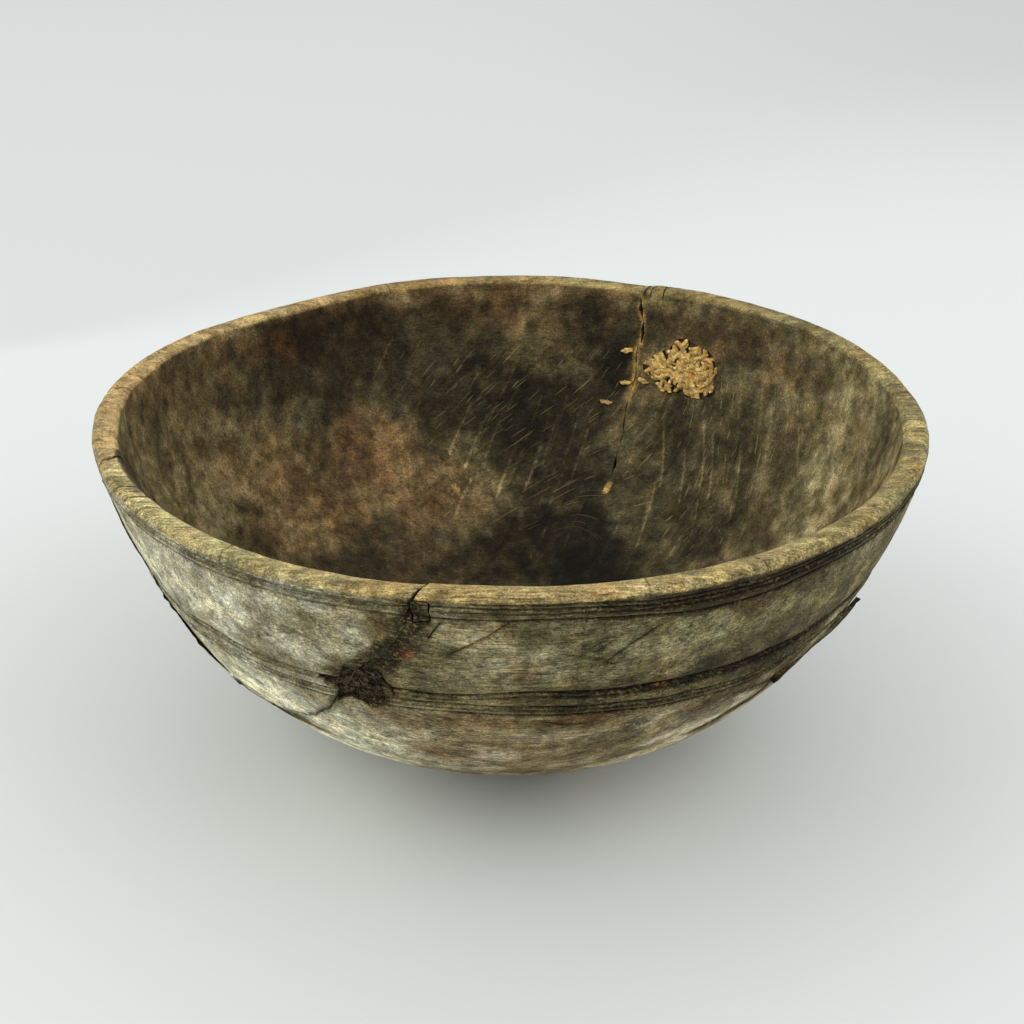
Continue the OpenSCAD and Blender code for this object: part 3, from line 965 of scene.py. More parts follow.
# Stains are (azimuth, dip, half width, half height, tilt, lightness, redness, strength). Lightness is
# the red part of the wood's colour, from 0 to 1, and redness goes from greenish grey, 0, to rust, 1.
STAINS_IN = [
    (172, 19, 17, 20, 0, 0.092, 0.30, 0.85), (155, 19, 10, 7, 0, 0.098, 0.45, 0.8),
    (150, 9, 16, 6, 0, 0.058, 0.35, 0.8), (108, 12, 11, 7, 0, 0.034, 0.05, 0.8),
    (120, 15, 20, 5, 0, 0.036, 0.25, 0.6), (127, 6.5, 14, 4.2, 0, 0.027, 0.60, 0.9),
    (134, 7, 3.0, 4.5, 0, 0.085, 1.00, 0.7), (103, 6, 5, 3, 0, 0.040, 0.30, 0.6),
    (92.5, 4.5, 3.2, 5, 0, 0.115, 0.60, 0.7), (84, 8, 4, 4, 0, 0.075, 0.45, 0.7),
    (130, 35, 26, 11, 0, 0.102, 0.90, 0.85), (147, 29, 12, 9, 0, 0.120, 0.70, 0.7),
    (121, 27, 10, 8, 12, 0.125, 0.95, 0.9), (113, 38, 9, 6, 20, 0.122, 0.95, 0.8),
    (97, 41, 11, 4.5, 0, 0.095, 0.60, 0.7), (88, 26, 14, 9.5, -25, 0.018, 0.10, 0.9),
    (104, 21, 6, 6, -30, 0.022, 0.20, 0.7), (78, 35, 12, 7, 0, 0.024, 0.15, 0.6),
    (76, 24, 5, 8, -15, 0.024, 0.05, 0.6), (56.5, 12.4, 9.5, 6.4, 0, 0.130, 0.45, 0.75),
    (46, 17.5, 6, 2.4, 12, 0.022, 0.10, 0.85), (63, 17.6, 5, 3.4, -25, 0.150, 0.30, 0.75),
    (70, 12, 3.0, 7, 0, 0.020, 0.00, 0.95), (76, 6, 5, 3, 0, 0.045, 0.30, 0.6),
    (64.5, 25, 4.2, 8, 0, 0.105, 0.15, 0.8), (54, 23, 5, 8, 15, 0.052, 0.10, 0.7),
    (52, 37, 9, 7, 10, 0.048, 0.15, 0.6), (39, 20, 11, 13, 10, 0.082, 0.10, 0.6),
    (44, 6, 4, 3, 0, 0.050, 0.10, 0.6), (50, 5.5, 13, 3.6, 0, 0.090, 0.80, 0.7),
    (33, 6, 8, 4, 0, 0.120, 0.65, 0.6), (26, 22, 8, 24, 8, 0.112, 0.15, 0.75),
    (11, 17, 10, 24, 5, 0.205, 0.10, 0.9), (-6, 17, 11, 18, 0, 0.150, 0.20, 0.7),
    (74, 49, 24, 6, 0, 0.013, 0.15, 0.9), (97, 54, 26, 5, 0, 0.034, 0.35, 0.85),
    (127, 50, 16, 6, 0, 0.052, 0.60, 0.85), (60, 57, 22, 6, 0, 0.009, 0.00, 0.85),
    (40, 47, 10, 7, 20, 0.052, 0.15, 0.6), (0, 80, 180, 14, 0, 0.035, 0.25, 0.7),
    (-62, 26, 26, 14, 10, 0.060, 0.20, 0.8), (-118, 22, 24, 13, -8, 0.095, 0.60, 0.8),
    (-92, 44, 40, 9, 0, 0.040, 0.30, 0.8), (-30, 34, 18, 12, 0, 0.110, 0.10, 0.7),
    (-158, 30, 14, 12, 0, 0.110, 0.50, 0.7), (-84, 10, 12, 5, 0, 0.045, 0.30, 0.7),
]
STAINS_OUT = [
    (-107, 8, 2.2, 5.5, -18, 0.085, 0.45, 0.8), (-103.3, 9.6, 1.1, 1.1, 0, 0.210, 1.60, 0.8),
    (-110, 17, 5.5, 4.5, -20, 0.085, 0.55, 0.85), (-106, 23, 4, 3, 0, 0.160, 0.70, 0.6),
    (-127, 30, 8, 3.6, 0, 0.62, 0.0, 0.85), (-117, 9.5, 7, 2.6, 10, 0.150, 0.10, 0.55),
    (-137, 9, 6, 3, 0, 0.400, 0.05, 0.5), (-81, 9.6, 6, 2.2, 10, 0.098, -0.35, 0.8),
    (-98, 8, 3, 3, 0, 0.110, 0.00, 0.6), (-89, 12, 7, 2.6, 0, 0.185, 0.20, 0.6),
    (-72, 12.5, 8, 2.0, 0, 0.165, 0.15, 0.6), (-66, 8.5, 5, 2.5, 0, 0.120, -0.30, 0.6),
    (-56, 8, 8, 3.5, 0, 0.135, -0.15, 0.6), (-62, 3.2, 16, 2.0, 0, 0.048, 0.75, 0.8),
    (-90, 22, 12, 2.2, 0, 0.115, 0.90, 0.7), (-79, 23, 5, 1.6, 0, 0.080, 1.20, 0.8),
    (-103, 34, 5, 2.5, 15, 0.170, 1.10, 0.7), (-93, 30, 14, 5, 0, 0.240, 0.60, 0.5),
    (-56, 24, 6, 2.4, 0, 0.105, 0.90, 0.7), (-50, 33, 9, 2.5, -20, 0.095, 0.60, 0.6),
    (-40, 25, 8, 4, 0, 0.085, 0.60, 0.75), (-71.5, 16.8, 2.0, 1.4, 0, 0.120, 1.50, 0.8),
    (-135, 35.5, 14, 2.0, 0, 0.075, 0.50, 0.85), (-152, 28, 6, 6, 0, 0.085, 0.50, 0.85),
    (20, 14, 16, 6, 0, 0.190, 0.20, 0.6), (52, 26, 20, 8, 8, 0.120, 0.60, 0.6),
    (92, 12, 18, 6, 0, 0.230, 0.10, 0.6), (118, 30, 16, 8, -10, 0.150, 0.55, 0.6),
    (150, 16, 14, 8, 0, 0.260, 0.15, 0.6), (172, 34, 14, 7, 0, 0.140, 0.70, 0.6),
    (0, 36, 20, 8, 0, 0.210, 0.45, 0.5),
]
# Where dirt lies along the front crack
FRONT_DIRT = [(-101.6, 3.5), (-103, 7), (-106, 11.5), (-110, 15), (-112, 18), (-109, 20)]
# Lightness of the outside all the way round: dips, each with its (azimuth, lightness) points
OUTSIDE_ROWS = [
    (3.4, [
        (-160, 0.31), (-140, 0.30), (-125, 0.27), (-115, 0.22), (-105, 0.13), (-95, 0.15), (-85, 0.095),
        (-75, 0.055), (-65, 0.045), (-55, 0.060), (-45, 0.085), (-34, 0.14), (0, 0.12), (70, 0.17),
        (140, 0.22),
    ]),
    (9.5, [
        (-160, 0.43), (-130, 0.44), (-121, 0.42), (-113, 0.38), (-105, 0.15), (-95, 0.17), (-85, 0.165),
        (-70, 0.108), (-50, 0.080), (-30, 0.135), (10, 0.16), (60, 0.19), (120, 0.21), (165, 0.30),
    ]),
    (17.3, [
        (-155, 0.26), (-138, 0.215), (-125, 0.20), (-115, 0.15), (-105, 0.12), (-95, 0.14), (-85, 0.085),
        (-75, 0.055), (-65, 0.034), (-55, 0.036), (-45, 0.060), (-34, 0.13), (20, 0.11), (90, 0.13),
        (165, 0.22),
    ]),
    (26, [
        (-158, 0.36), (-130, 0.60), (-112, 0.37), (-98, 0.21), (-88, 0.14), (-76, 0.145), (-64, 0.29),
        (-52, 0.38), (-30, 0.24), (30, 0.20), (90, 0.20), (150, 0.26),
    ]),
]


def route_distance(az, dip, route):
    """How far places on the wall are from a route, in mm along the wall."""
    squash = np.cos(np.radians(np.clip(dip, -5, 70)))
    best = np.full(len(az), 1e9)
    for a, b in zip(route, route[1:]):
        du, dv = turn_between(b[0], a[0]), b[1] - a[1]
        u, v = turn_between(az, a[0]), dip - a[1]
        length = (du * squash) ** 2 + dv**2 + 1e-9
        t = np.clip((u * du * squash**2 + v * dv) / length, 0, 1)
        best = np.minimum(best, np.hypot((u - t * du) * squash, v - t * dv))
    return best * math.pi / 180 * RIM_R


def lay_stains(p, az, dip, log_light, red, stains, seed):
    """Blends stains with wandering, frayed edges into a lightness (as its logarithm) and a redness."""
    az = az + 3.2 * fractal(p, 26, seed, 3)
    dip = dip + 2.6 * fractal(p, 22, seed + 1, 3)
    fray = 0.22 * fractal(p, 7, seed + 2, 3)
    for place, level, half_az, half_dip, tilt, light, redness, strength in stains:
        u, v = turn_between(az, place), dip - level
        c, s = math.cos(math.radians(tilt)), math.sin(math.radians(tilt))
        far = np.hypot((u * c + v * s) / half_az, (v * c - u * s) / half_dip)
        mask = strength * smooth(1.35, 0.55, far + fray)
        log_light = log_light + mask * (math.log(light) - log_light)
        red = red + mask * (redness - red)
    return log_light, red


def wood_colour(light, red, pale):
    """Colour of wood from its lightness and redness. pale tells how weathered it is, 0 to 1."""
    green = 0.86 - 0.25 * red + 0.12 * pale * smooth(0.05, 0.35, light)
    blue = 0.41 - 0.16 * red + 0.31 * pale * smooth(0.05, 0.35, light)
    return np.stack([light, light * np.clip(green, 0.4, 1.05), light * np.clip(blue, 0.1, 1.1)], 1)


def inside_paint(p, az, dip):
    """Colour, roughness, scratch share and speck share of the inside."""
    light = np.log(0.064 + 0.035 * smooth(5, 1, dip) + 0 * az)
    red = 0.2 + 0 * az
    light, red = lay_stains(p, az, dip, light, red, STAINS_IN, 701)
    light = math.log(0.10) + 1.2 * (light - math.log(0.10))
    blotch = fractal(p, 17, 711, 5, 0.62)
    in_dark = smooth(0.09, 0.035, np.exp(light))
    blotch = np.tanh(3.2 * blotch)
    light += 0.58 * blotch * (0.75 + in_dark * np.where(blotch > 0, -0.35, 0.35))
    light += 0.42 * fractal(p, 4.5, 713, 3)
    red += 0.20 * fractal(p, 18, 715, 2) + 0.45 * smooth(10, 4, dip) * smooth(55, 75, az)
    fans = smooth(24, 34, az) * smooth(118, 104, az) * smooth(7, 15, dip) * smooth(50, 42, dip)
    streaks = value_noise(fan_lines(az, dip), (2.2, 34, 9), 717) * fans
    light += 0.5 * streaks
    for route, half, _ in SCRATCHES_IN:
        light += 0.95 * smooth(half + 0.5, 0.1, route_distance(az, dip, route) + 0.3 * value_noise(p, 5, 723))
    crack = np.minimum(route_distance(az, dip, BACK_CRACK), route_distance(az, dip, BACK_CRACK_CLOSED))
    golden = smooth(2.3, 0.5, crack + 1.3 * value_noise(p, 2.5, 719)) * smooth(24, 17, dip)
    golden *= 0.7 + 0.3 * smooth(7, 12, dip)
    chip = smooth(2.4, 1.0, route_distance(az, dip, [(66.8, 35.6), (67.2, 37.2)]))
    chip = np.maximum(chip, smooth(2.0, 0.9, route_distance(az, dip, [(104, 37.2), (103.2, 38.2)])))
    colour = wood_colour(np.exp(light), red, 0.15)
    golden = np.maximum(0.7 * golden, 0.85 * chip)[:, None]
    colour = colour + golden * (GOLDEN_DUST - colour)
    specks = np.exp(-(((turn_between(az, 105) / 7) ** 2) + ((dip - 10) / 4.5) ** 2))
    specks += np.exp(-(((turn_between(az, 129) / 9) ** 2) + ((dip - 26) / 8) ** 2))
    specks += 0.25
    rough = 0.50 + 0.10 * fractal(p, 20, 721, 2) + 0.12 * smooth(20, 5, az) * smooth(-60, -20, az)
    return colour, rough, fans, specks


def outside_paint(p, az, dip):
    """Colour, roughness, dirt and speck share of the outside."""
    depth = RIM_Z - p[:, 2]
    levels = np.array([row[0] for row in OUTSIDE_ROWS])
    rows = np.stack([np.log(round_route(az + 3 * fractal(p, 30, 801, 2), row[1])) for row in OUTSIDE_ROWS])
    at = np.clip(np.interp(dip + 0.8 * fractal(p, 16, 803, 2), levels, np.arange(4)), 0, 2.999)
    low = at.astype(int)
    column = np.arange(len(az))
    light = rows[low, column] * (1 - at + low) + rows[low + 1, column] * (at - low)
    red = 0.02 + 0.20 * smooth(17, 26, dip) * smooth(-118, -100, az) + 0.12 * fractal(p, 24, 805, 2)
    light, red = lay_stains(p, az, dip, light, red, STAINS_OUT, 811)
    blotch = fractal(p, (26, 13, 13), 813, 5, 0.6)
    light += (0.26 + 0.16 * smooth(-110, -90, az)) * np.tanh(2.4 * blotch)
    light += 0.18 * fractal(p, (14, 2.6, 2.6), 817, 2)
    # Painted shade in the sharp carved lines, stronger towards the right, and painted highlights with pale
    # deposits on the edges just above and below each line
    groove_shade = 0.5 + 0.5 * smooth(-95, -70, az) * smooth(60, 10, az)
    for line, below, half, deep in SHARP_LINES:
        at_line = round_route(az, line) + below
        light -= groove_shade * (0.5 + 0.5 * deep) * bell(depth, at_line, half + 0.35)
        light += 0.32 * bell(depth, at_line - 1.2, 0.6) + 0.16 * bell(depth, at_line + 1.2, 0.5)
    # Painted shade in a band between the two upper carved lines
    between = 0.5 * (round_route(az, LINE_UPPER_1) + round_route(az, LINE_UPPER_2))
    light -= 0.35 * groove_shade * bell(depth, between, 2.5)
    light -= 0.30 * smooth(75, 86, dip) + 0.12 * smooth(40, 55, dip)
    for route, half, cut_depth in SCRATCHES_OUT:
        light -= (0.35 + 0.5 * cut_depth) * smooth(half + 0.7, 0.2, route_distance(az, dip, route))
    edge = route_distance(az, dip, [q for q in FRAGMENT_OUT if q[1] > 0])
    # Painted shade: a dark line along the crack round the broken-out piece, on the outside
    light -= 0.8 * smooth(1.5, 0.2, edge + 0.6 * value_noise(p, 5, 821))
    front = route_distance(az, dip, FRONT_DIRT) + 3.0 * fractal(p, 7, 827, 3)
    front = smooth(10.0, 3.0, front)
    light += 0.92 * front * (math.log(0.058) + 0.6 * fractal(p, 3.0, 829, 2) - light)
    red += 0.9 * front * (0.15 - red)
    rust = np.hypot(turn_between(az, -103.4) * 0.97, dip - 9.8) + 0.5 * value_noise(p, 2.5, 833)
    rust = 0.9 * smooth(1.35, 0.4, rust)
    light += rust * (math.log(0.20) - light)
    red += rust * (2.3 - red)
    # Painted shadow of the gap along the lower left edge of the broken-out piece
    side = bell(edge, 0, 0.7 + 0.9 * smooth(14, 19, dip)) * smooth(-143, -149, az)
    light -= 1.7 * side
    for route in (RIGHT_SPLIT, RIGHT_BRANCH, LEFT_LEDGE):
        light -= 0.8 * smooth(4.0, 0.8, route_distance(az, dip, route) + 1.0 * value_noise(p, 6, 823))
    pale = 0.78 + 0.22 * smooth(-95, -125, az)
    colour = wood_colour(np.exp(light), red, pale)
    rough = 0.86 + 0.06 * fractal(p, 12, 825, 2) - 0.12 * smooth(-80, -60, az) * smooth(-30, -50, az)
    dirt = np.maximum(front, 0.8 * bell(edge, 0, 2.2))
    near_line = sum(bell(depth, round_route(az, line) + below, 1.4) for line, below, *_ in SHARP_LINES)
    dirt = np.maximum(dirt, (0.35 + 0.45 * smooth(-95, -70, az)) * np.clip(near_line, 0, 1))
    for route in (RIGHT_SPLIT, RIGHT_BRANCH, LEFT_LEDGE):
        dirt = np.maximum(dirt, smooth(7, 2, route_distance(az, dip, route)))
    low_right = smooth(-100, -80, az) * smooth(0, -30, az) * smooth(13, 19, dip) * smooth(33, 25, dip)
    dirt = np.maximum(dirt, 0.55 * low_right * smooth(-0.1, 0.25, fractal(p, 15, 835, 3)))
    return colour, rough, dirt, 0.25 + 0.3 * smooth(-100, -120, az)


def rim_paint(p, az):
    """Colour of the worn, honey-brown rim."""
    light = np.log(round_route(az, [
        (-175, 0.33), (-160, 0.27), (-145, 0.29), (-120, 0.285), (-100, 0.225), (-85, 0.25), (-60, 0.22),
        (-35, 0.17), (0, 0.18), (60, 0.175), (110, 0.215), (150, 0.29),
    ]))
    light += 0.26 * fractal(p, (24, 2.4, 4), 901, 3) + 0.30 * np.tanh(2 * fractal(p, (22, 9, 9), 903, 4))
    red = round_route(az, [
        (-175, 0.7), (-155, 0.25), (-140, 0.2), (-118, 0.3), (-95, 0.55), (-80, 0.6), (-45, 0.35),
        (-10, 0.2), (30, 0.4), (65, 0.35), (100, 0.75), (150, 0.7),
    ])
    return wood_colour(np.exp(light), red + 0.3 * fractal(p, 16, 907, 2), 0.25) * RIM_TINT


# Painted shade: dark lines across the rim, at the breaks at its top and at the checks
RIM_LINES = [(-101.6, -99.8, 0.55, 1), (-160.4, -162, 0.5, 1), (66.1, 66.3, 0.5, 1)]
RIM_LINES += [(*check, 0.6) for check in RIM_CHECKS]


def rim_crack_shade(p, az, share):
    """How far the rim is painted dark as the shade of the cracks across it, and as the painted shadow of the
    crack along its inner edge.
    """
    dark = np.zeros(len(az))
    wander = 0.25 * value_noise(p, 2.5, 931)
    for outer_az, inner_az, half, strength in RIM_LINES:
        middle = inner_az + np.clip(share, 0, 1) * turn_between(outer_az, inner_az)
        far = np.abs(turn_between(az, middle)) * math.pi / 180 * RIM_R
        dark = np.maximum(dark, strength * smooth(half + 0.35, half * 0.4, far + wander))
    tilt = np.arctan(2.47 * np.abs(np.sin(np.radians(az))))
    line_r = RIM_R - RIM_W + LIP_ROUND * (1 - np.cos(tilt)) + 0.4
    thick = 0.1 + 1.3 * smooth(-139, -156, az) * smooth(-165, -162.5, az)
    off = np.hypot(p[:, 0], p[:, 1]) - line_r + 0.5 * wander
    return np.maximum(dark, smooth(1.9, 1.2, off / thick) * (thick > 0.15) * (off > -3))


def fan_lines(az, dip):
    """Places by the fan of scratches in the back wall: mm across the scratches, mm along them."""
    lean_by = 0.62 * smooth(58, 76, az) - 0.48 * smooth(62, 46, az)
    across = (az * np.cos(np.radians(dip)) - lean_by * (dip - 25)) * MM_PER_DEGREE
    return np.stack([across, dip * MM_PER_DEGREE, 0 * az], 1)


def depth_in_wood(p):
    """How deep points lie under the bowl's plain surface, in mm."""
    outline = section()[::9]
    flat_r = np.hypot(p[:, 0], p[:, 1])
    best = np.full(len(p), 1e9)
    for r, z in outline:
        np.minimum(best, (flat_r - r) ** 2 + (p[:, 2] - z) ** 2, out=best)
    return np.sqrt(best)


def paint_wood(obj):
    """Gives each vertex its colour and its feel: roughness, scratches, specks and open grain."""
    p = move_round(vertices(obj), -1)
    az, dip = az_dip(p)
    share = share_of(p)
    inside = smooth(0.56, 0.44, share)
    parts = [np.zeros((len(p), 3)), *np.zeros((3, len(p)))]
    for painter, part in ((outside_paint, 1 - inside), (inside_paint, inside)):
        here = part > 0
        for total, value in zip(parts, painter(p[here], az[here], dip[here])):
            weight = part[here]
            total[here] += value * (weight[:, None] if value.ndim == 2 else weight)
    # Marks are scratches inside and dirt outside
    colour, rough, marks, specks = parts
    below = RIM_Z + rim_level(az) - p[:, 2] + 0.35 * value_noise(p, 9, 911)
    rim = np.where(share > 0.6, smooth(4.0, 3.2, below), smooth(3.0, 1.5, below))
    colour = colour + rim[:, None] * (rim_paint(p, az) - colour)
    # Painted shade: the rim is painted near-black along its cracks, and along its inner edge by the
    # broken-out piece
    line = (0.93 * smooth(4.5, 3.5, below) * rim_crack_shade(p, az, share))[:, None]
    colour = colour + line * (CRACK_SHADE_BLACK - colour)
    rough = rough + rim * (0.62 - rough)
    raw = smooth(1.5, 2.6, depth_in_wood(p)) * smooth(1.2, 2.2, below)
    raw_light = 0.040 * np.exp(0.5 * fractal(p, (14, 2, 2), 921, 3))
    colour = colour + raw[:, None] * (wood_colour(raw_light, 0.7 + 0 * az, 0) - colour)
    rough = rough + raw * (0.9 - rough)
    end_grain = bell(np.abs(turn_between(az, -146)), 0, 14) + bell(np.abs(turn_between(az, -4)), 0, 22)
    grain = (0.55 - 0.22 * smooth(-105, -122, az)) * smooth(0.4, 0.6, share) + 0.15 + rim * 0.45 * end_grain
    ones = np.ones(len(p))
    put_attribute(obj, "paint", np.stack([*np.clip(colour, 0.002, 0.8).T, ones], 1), "FLOAT_COLOR")
    feel = np.stack([rough, np.clip(marks, 0, 1) * inside * (1 - rim), np.clip(specks, 0, 1), ones], 1)
    put_attribute(obj, "dirt", np.clip(marks * (1 - inside) * (1 - 0.7 * rim) + 0.8 * raw, 0, 1))
    put_attribute(obj, "feel", feel, "FLOAT_COLOR")
    put_attribute(obj, "grain", np.clip(grain, 0, 1))
    lines = np.concatenate([fan_lines(az, dip)[:, :2], np.stack([0 * az, ones], 1)], 1)
    put_attribute(obj, "lines", lines, "FLOAT_COLOR")


# ---------------------------------------------------------------- materials
class Nodes:
    """Short ways to add the nodes of one material."""

    def __init__(self, name):
        self.material = bpy.data.materials.new(name)
        self.material.use_nodes = True
        self.tree = self.material.node_tree
        self.shader = self.tree.nodes["Principled BSDF"]
        self.place = self.add("ShaderNodeTexCoord").outputs["Object"]

    def add(self, kind, inputs=None, **settings):
        node = self.tree.nodes.new(kind)
        for key, value in settings.items():
            setattr(node, key, value)
        for key, value in (inputs or {}).items():
            self.put(node.inputs[key], value)
        return node

    def put(self, socket, value):
        if isinstance(value, bpy.types.NodeSocket):
            self.tree.links.new(value, socket)
        else:
            socket.default_value = value

    def attribute(self, name):
        return self.add("ShaderNodeAttribute", attribute_name=name)

    def stretched(self, size, where=None):
        """Places scaled so that a noise of scale 1 has lumps of size (x, y, z) mm."""
        where = where or self.place
        scale = [1 / (s * MM) for s in size]
        return self.add("ShaderNodeMapping", {"Vector": where, "Scale": scale}).outputs[0]

    def noise(self, size, detail=3.0, rough=0.55, twist=0.0, where=None):
        size = size if isinstance(size, tuple) else (size, size, size)
        node = self.add("ShaderNodeTexNoise", {
            "Vector": self.stretched(size, where), "Scale": 1.0, "Detail": detail, "Roughness": rough,
            "Distortion": twist})
        return node.outputs["Fac"]

    def ramp(self, value, low, high, to_low=0.0, to_high=1.0, kind="SMOOTHSTEP"):
        return self.add("ShaderNodeMapRange", {
            "Value": value, "From Min": low, "From Max": high, "To Min": to_low, "To Max": to_high},
            interpolation_type=kind, clamp=True).outputs[0]

    def calc(self, operation, a, b):
        return self.add("ShaderNodeMath", {0: a, 1: b}, operation=operation).outputs[0]

    def times(self, a, b):
        return self.calc("MULTIPLY", a, b)

    def plus(self, a, b):
        return self.calc("ADD", a, b)

    def minus(self, a, b):
        return self.calc("SUBTRACT", a, b)

    def mix(self, factor, a, b, kind="MIX"):
        node = self.add("ShaderNodeMix", {0: factor, 6: a, 7: b}, data_type="RGBA", blend_type=kind)
        return node.outputs[2]

    def scale_vector(self, colour, factor):
        """A colour made lighter or darker, or places moved apart, by a factor."""
        return self.add("ShaderNodeVectorMath", {0: colour, "Scale": factor}, operation="SCALE").outputs[0]

    def scratches(self, where, across, along, turn, width):
        """Thin scratches, one in each cell of across by along mm, turned by some degrees."""
        rotation = (0, 0, math.radians(turn))
        turned = self.add("ShaderNodeMapping", {"Vector": where, "Rotation": rotation}).outputs[0]
        bend = self.noise((6, 14, 6), 2.0, where=self.scale_vector(turned, MM))
        shift = self.add("ShaderNodeCombineXYZ", {"X": self.times(bend, 1.1)}).outputs[0]
        turned = self.add("ShaderNodeVectorMath", {0: turned, 1: shift}, operation="ADD").outputs[0]
        scale = (1 / across, 1 / along, 1.0)
        scaled = self.add("ShaderNodeMapping", {"Vector": turned, "Scale": scale}).outputs[0]
        cells = self.add("ShaderNodeTexVoronoi", {"Vector": scaled, "Scale": 1.0}, voronoi_dimensions="2D")
        size = self.add("ShaderNodeSeparateColor", {"Color": cells.outputs["Color"]}).outputs[0]
        reach = self.ramp(size, 0.35, 1.0, 0.0, width, "LINEAR")
        line = self.ramp(self.minus(reach, cells.outputs["Distance"]), 0.0, 0.05)
        return self.times(line, self.ramp(size, 0.35, 1.0, 0.35, 1.0, "LINEAR"))

    def finish(self, colour, rough, height, depth_mm, strength=1.0, specular=0.5):
        self.put(self.shader.inputs["Base Color"], colour)
        self.put(self.shader.inputs["Roughness"], rough)
        self.shader.inputs["Specular IOR Level"].default_value = specular
        bump = self.add("ShaderNodeBump", {"Height": height, "Strength": strength, "Distance": depth_mm * MM})
        self.put(self.shader.inputs["Normal"], bump.outputs[0])
        return self.material


def wood_material(name, tint=1.0, pits=1.0):
    """Old wood: the painted stains with fibres, mottling, pits, scratches and pale specks."""
    n = Nodes(name)
    paint = n.attribute("paint").outputs["Color"]
    feel = n.add("ShaderNodeSeparateColor", {"Color": n.attribute("feel").outputs["Color"]})
    rough, scratch_share, speck_share = feel.outputs[0], feel.outputs[1], feel.outputs[2]
    grain = n.attribute("grain").outputs["Fac"]
    fibres = n.noise((13, 0.8, 0.8), 4.0, 0.6, 0.3)
    long_fibres = n.noise((38, 2.0, 2.0), 3.0, 0.55, 0.2)
    mottle = n.noise(7.5, 6.0, 0.66, 0.2)
    grains = n.noise(0.8, 3.0, 0.65)
    fibre_light = n.times(n.ramp(fibres, 0.34, 0.66, 0.58, 1.48, "LINEAR"),
                         n.ramp(long_fibres, 0.3, 0.7, 0.80, 1.22, "LINEAR"))
    fibre_light = n.calc("POWER", fibre_light, n.ramp(grain, 0.0, 1.0, 0.1, 1.3, "LINEAR"))
    value = n.times(fibre_light, n.ramp(mottle, 0.34, 0.66, 0.52, 1.60, "LINEAR"))
    value = n.times(value, n.ramp(grains, 0.36, 0.64, 0.62, 1.46, "LINEAR"))
    flecks = n.noise((2.6, 1.1, 1.1), 5.0, 0.72, 0.6)
    value = n.times(value, n.ramp(flecks, 0.36, 0.64, 0.68, 1.38, "LINEAR"))
    colour = n.scale_vector(paint, n.times(value, tint))
    warmth = n.ramp(n.noise(11.0, 3.0), 0.38, 0.62, 0.0, 1.0)
    colour = n.mix(warmth, colour, n.mix(1.0, colour, (1.04, 0.98, 0.86, 1), "MULTIPLY"))
    crevice = n.ramp(n.noise((16, 0.7, 0.9), 3.0, 0.6, 0.5), 0.40, 0.30)
    pit = n.ramp(n.noise((3.2, 1.3, 1.3), 2.0, 0.5), 0.36, 0.27)
    dark = n.times(n.calc("MAXIMUM", crevice, pit), n.times(grain, pits))
    colour = n.mix(dark, colour, n.scale_vector(colour, 0.25))
    dirt = n.attribute("dirt").outputs["Fac"]
    crumbs = n.noise((1.9, 1.4, 1.4), 6.0, 0.72, 0.8)
    hollows = n.times(n.ramp(crumbs, 0.54, 0.46), dirt)
    colour = n.mix(n.times(hollows, 0.85), colour, n.scale_vector(colour, 0.2))
    dust = n.times(n.ramp(crumbs, 0.56, 0.64), dirt)
    dusty = n.mix(0.5, n.scale_vector(colour, 2.2), (0.17, 0.145, 0.085, 1))
    colour = n.mix(n.times(dust, 0.6), colour, dusty)

    lines = n.attribute("lines").outputs["Vector"]
    scratch = n.calc("MAXIMUM", n.scratches(lines, 3.8, 38, -3, 0.19), n.scratches(lines, 2.6, 20, 7, 0.19))
    scratch = n.calc("MAXIMUM", scratch, n.scratches(lines, 5.2, 26, -15, 0.13))
    scratch = n.times(scratch, scratch_share)
    bright = n.mix(0.6, n.scale_vector(colour, 2.4), (0.22, 0.170, 0.075, 1))
    colour = n.mix(n.times(scratch, 0.95), colour, bright)

    cells = n.add("ShaderNodeTexVoronoi", {"Vector": n.stretched((6.5, 6.5, 6.5)), "Scale": 1.0})
    size = n.add("ShaderNodeSeparateColor", {"Color": cells.outputs["Color"]}).outputs[0]
    reach = n.times(n.ramp(size, 0.55, 1.0, 0.0, 0.085, "LINEAR"), speck_share)
    speck = n.ramp(n.minus(reach, cells.outputs["Distance"]), -0.01, 0.02)
    colour = n.mix(n.times(speck, 0.8), colour, (0.42, 0.41, 0.36, 1))

    height = n.times(fibres, 0.55)
    height = n.plus(height, n.times(mottle, 0.45))
    height = n.plus(height, n.times(long_fibres, 0.5))
    height = n.minus(height, n.times(dark, 0.8))
    height = n.minus(height, n.times(scratch, 0.35))
    height = n.plus(height, n.times(flecks, 0.5))
    height = n.minus(height, n.times(hollows, 1.2))
    height = n.plus(height, n.times(speck, 0.3))
    shine = n.plus(rough, n.ramp(mottle, 0.3, 0.7, -0.07, 0.07, "LINEAR"))
    return n.finish(colour, shine, height, 0.6, 1.0, 0.1)


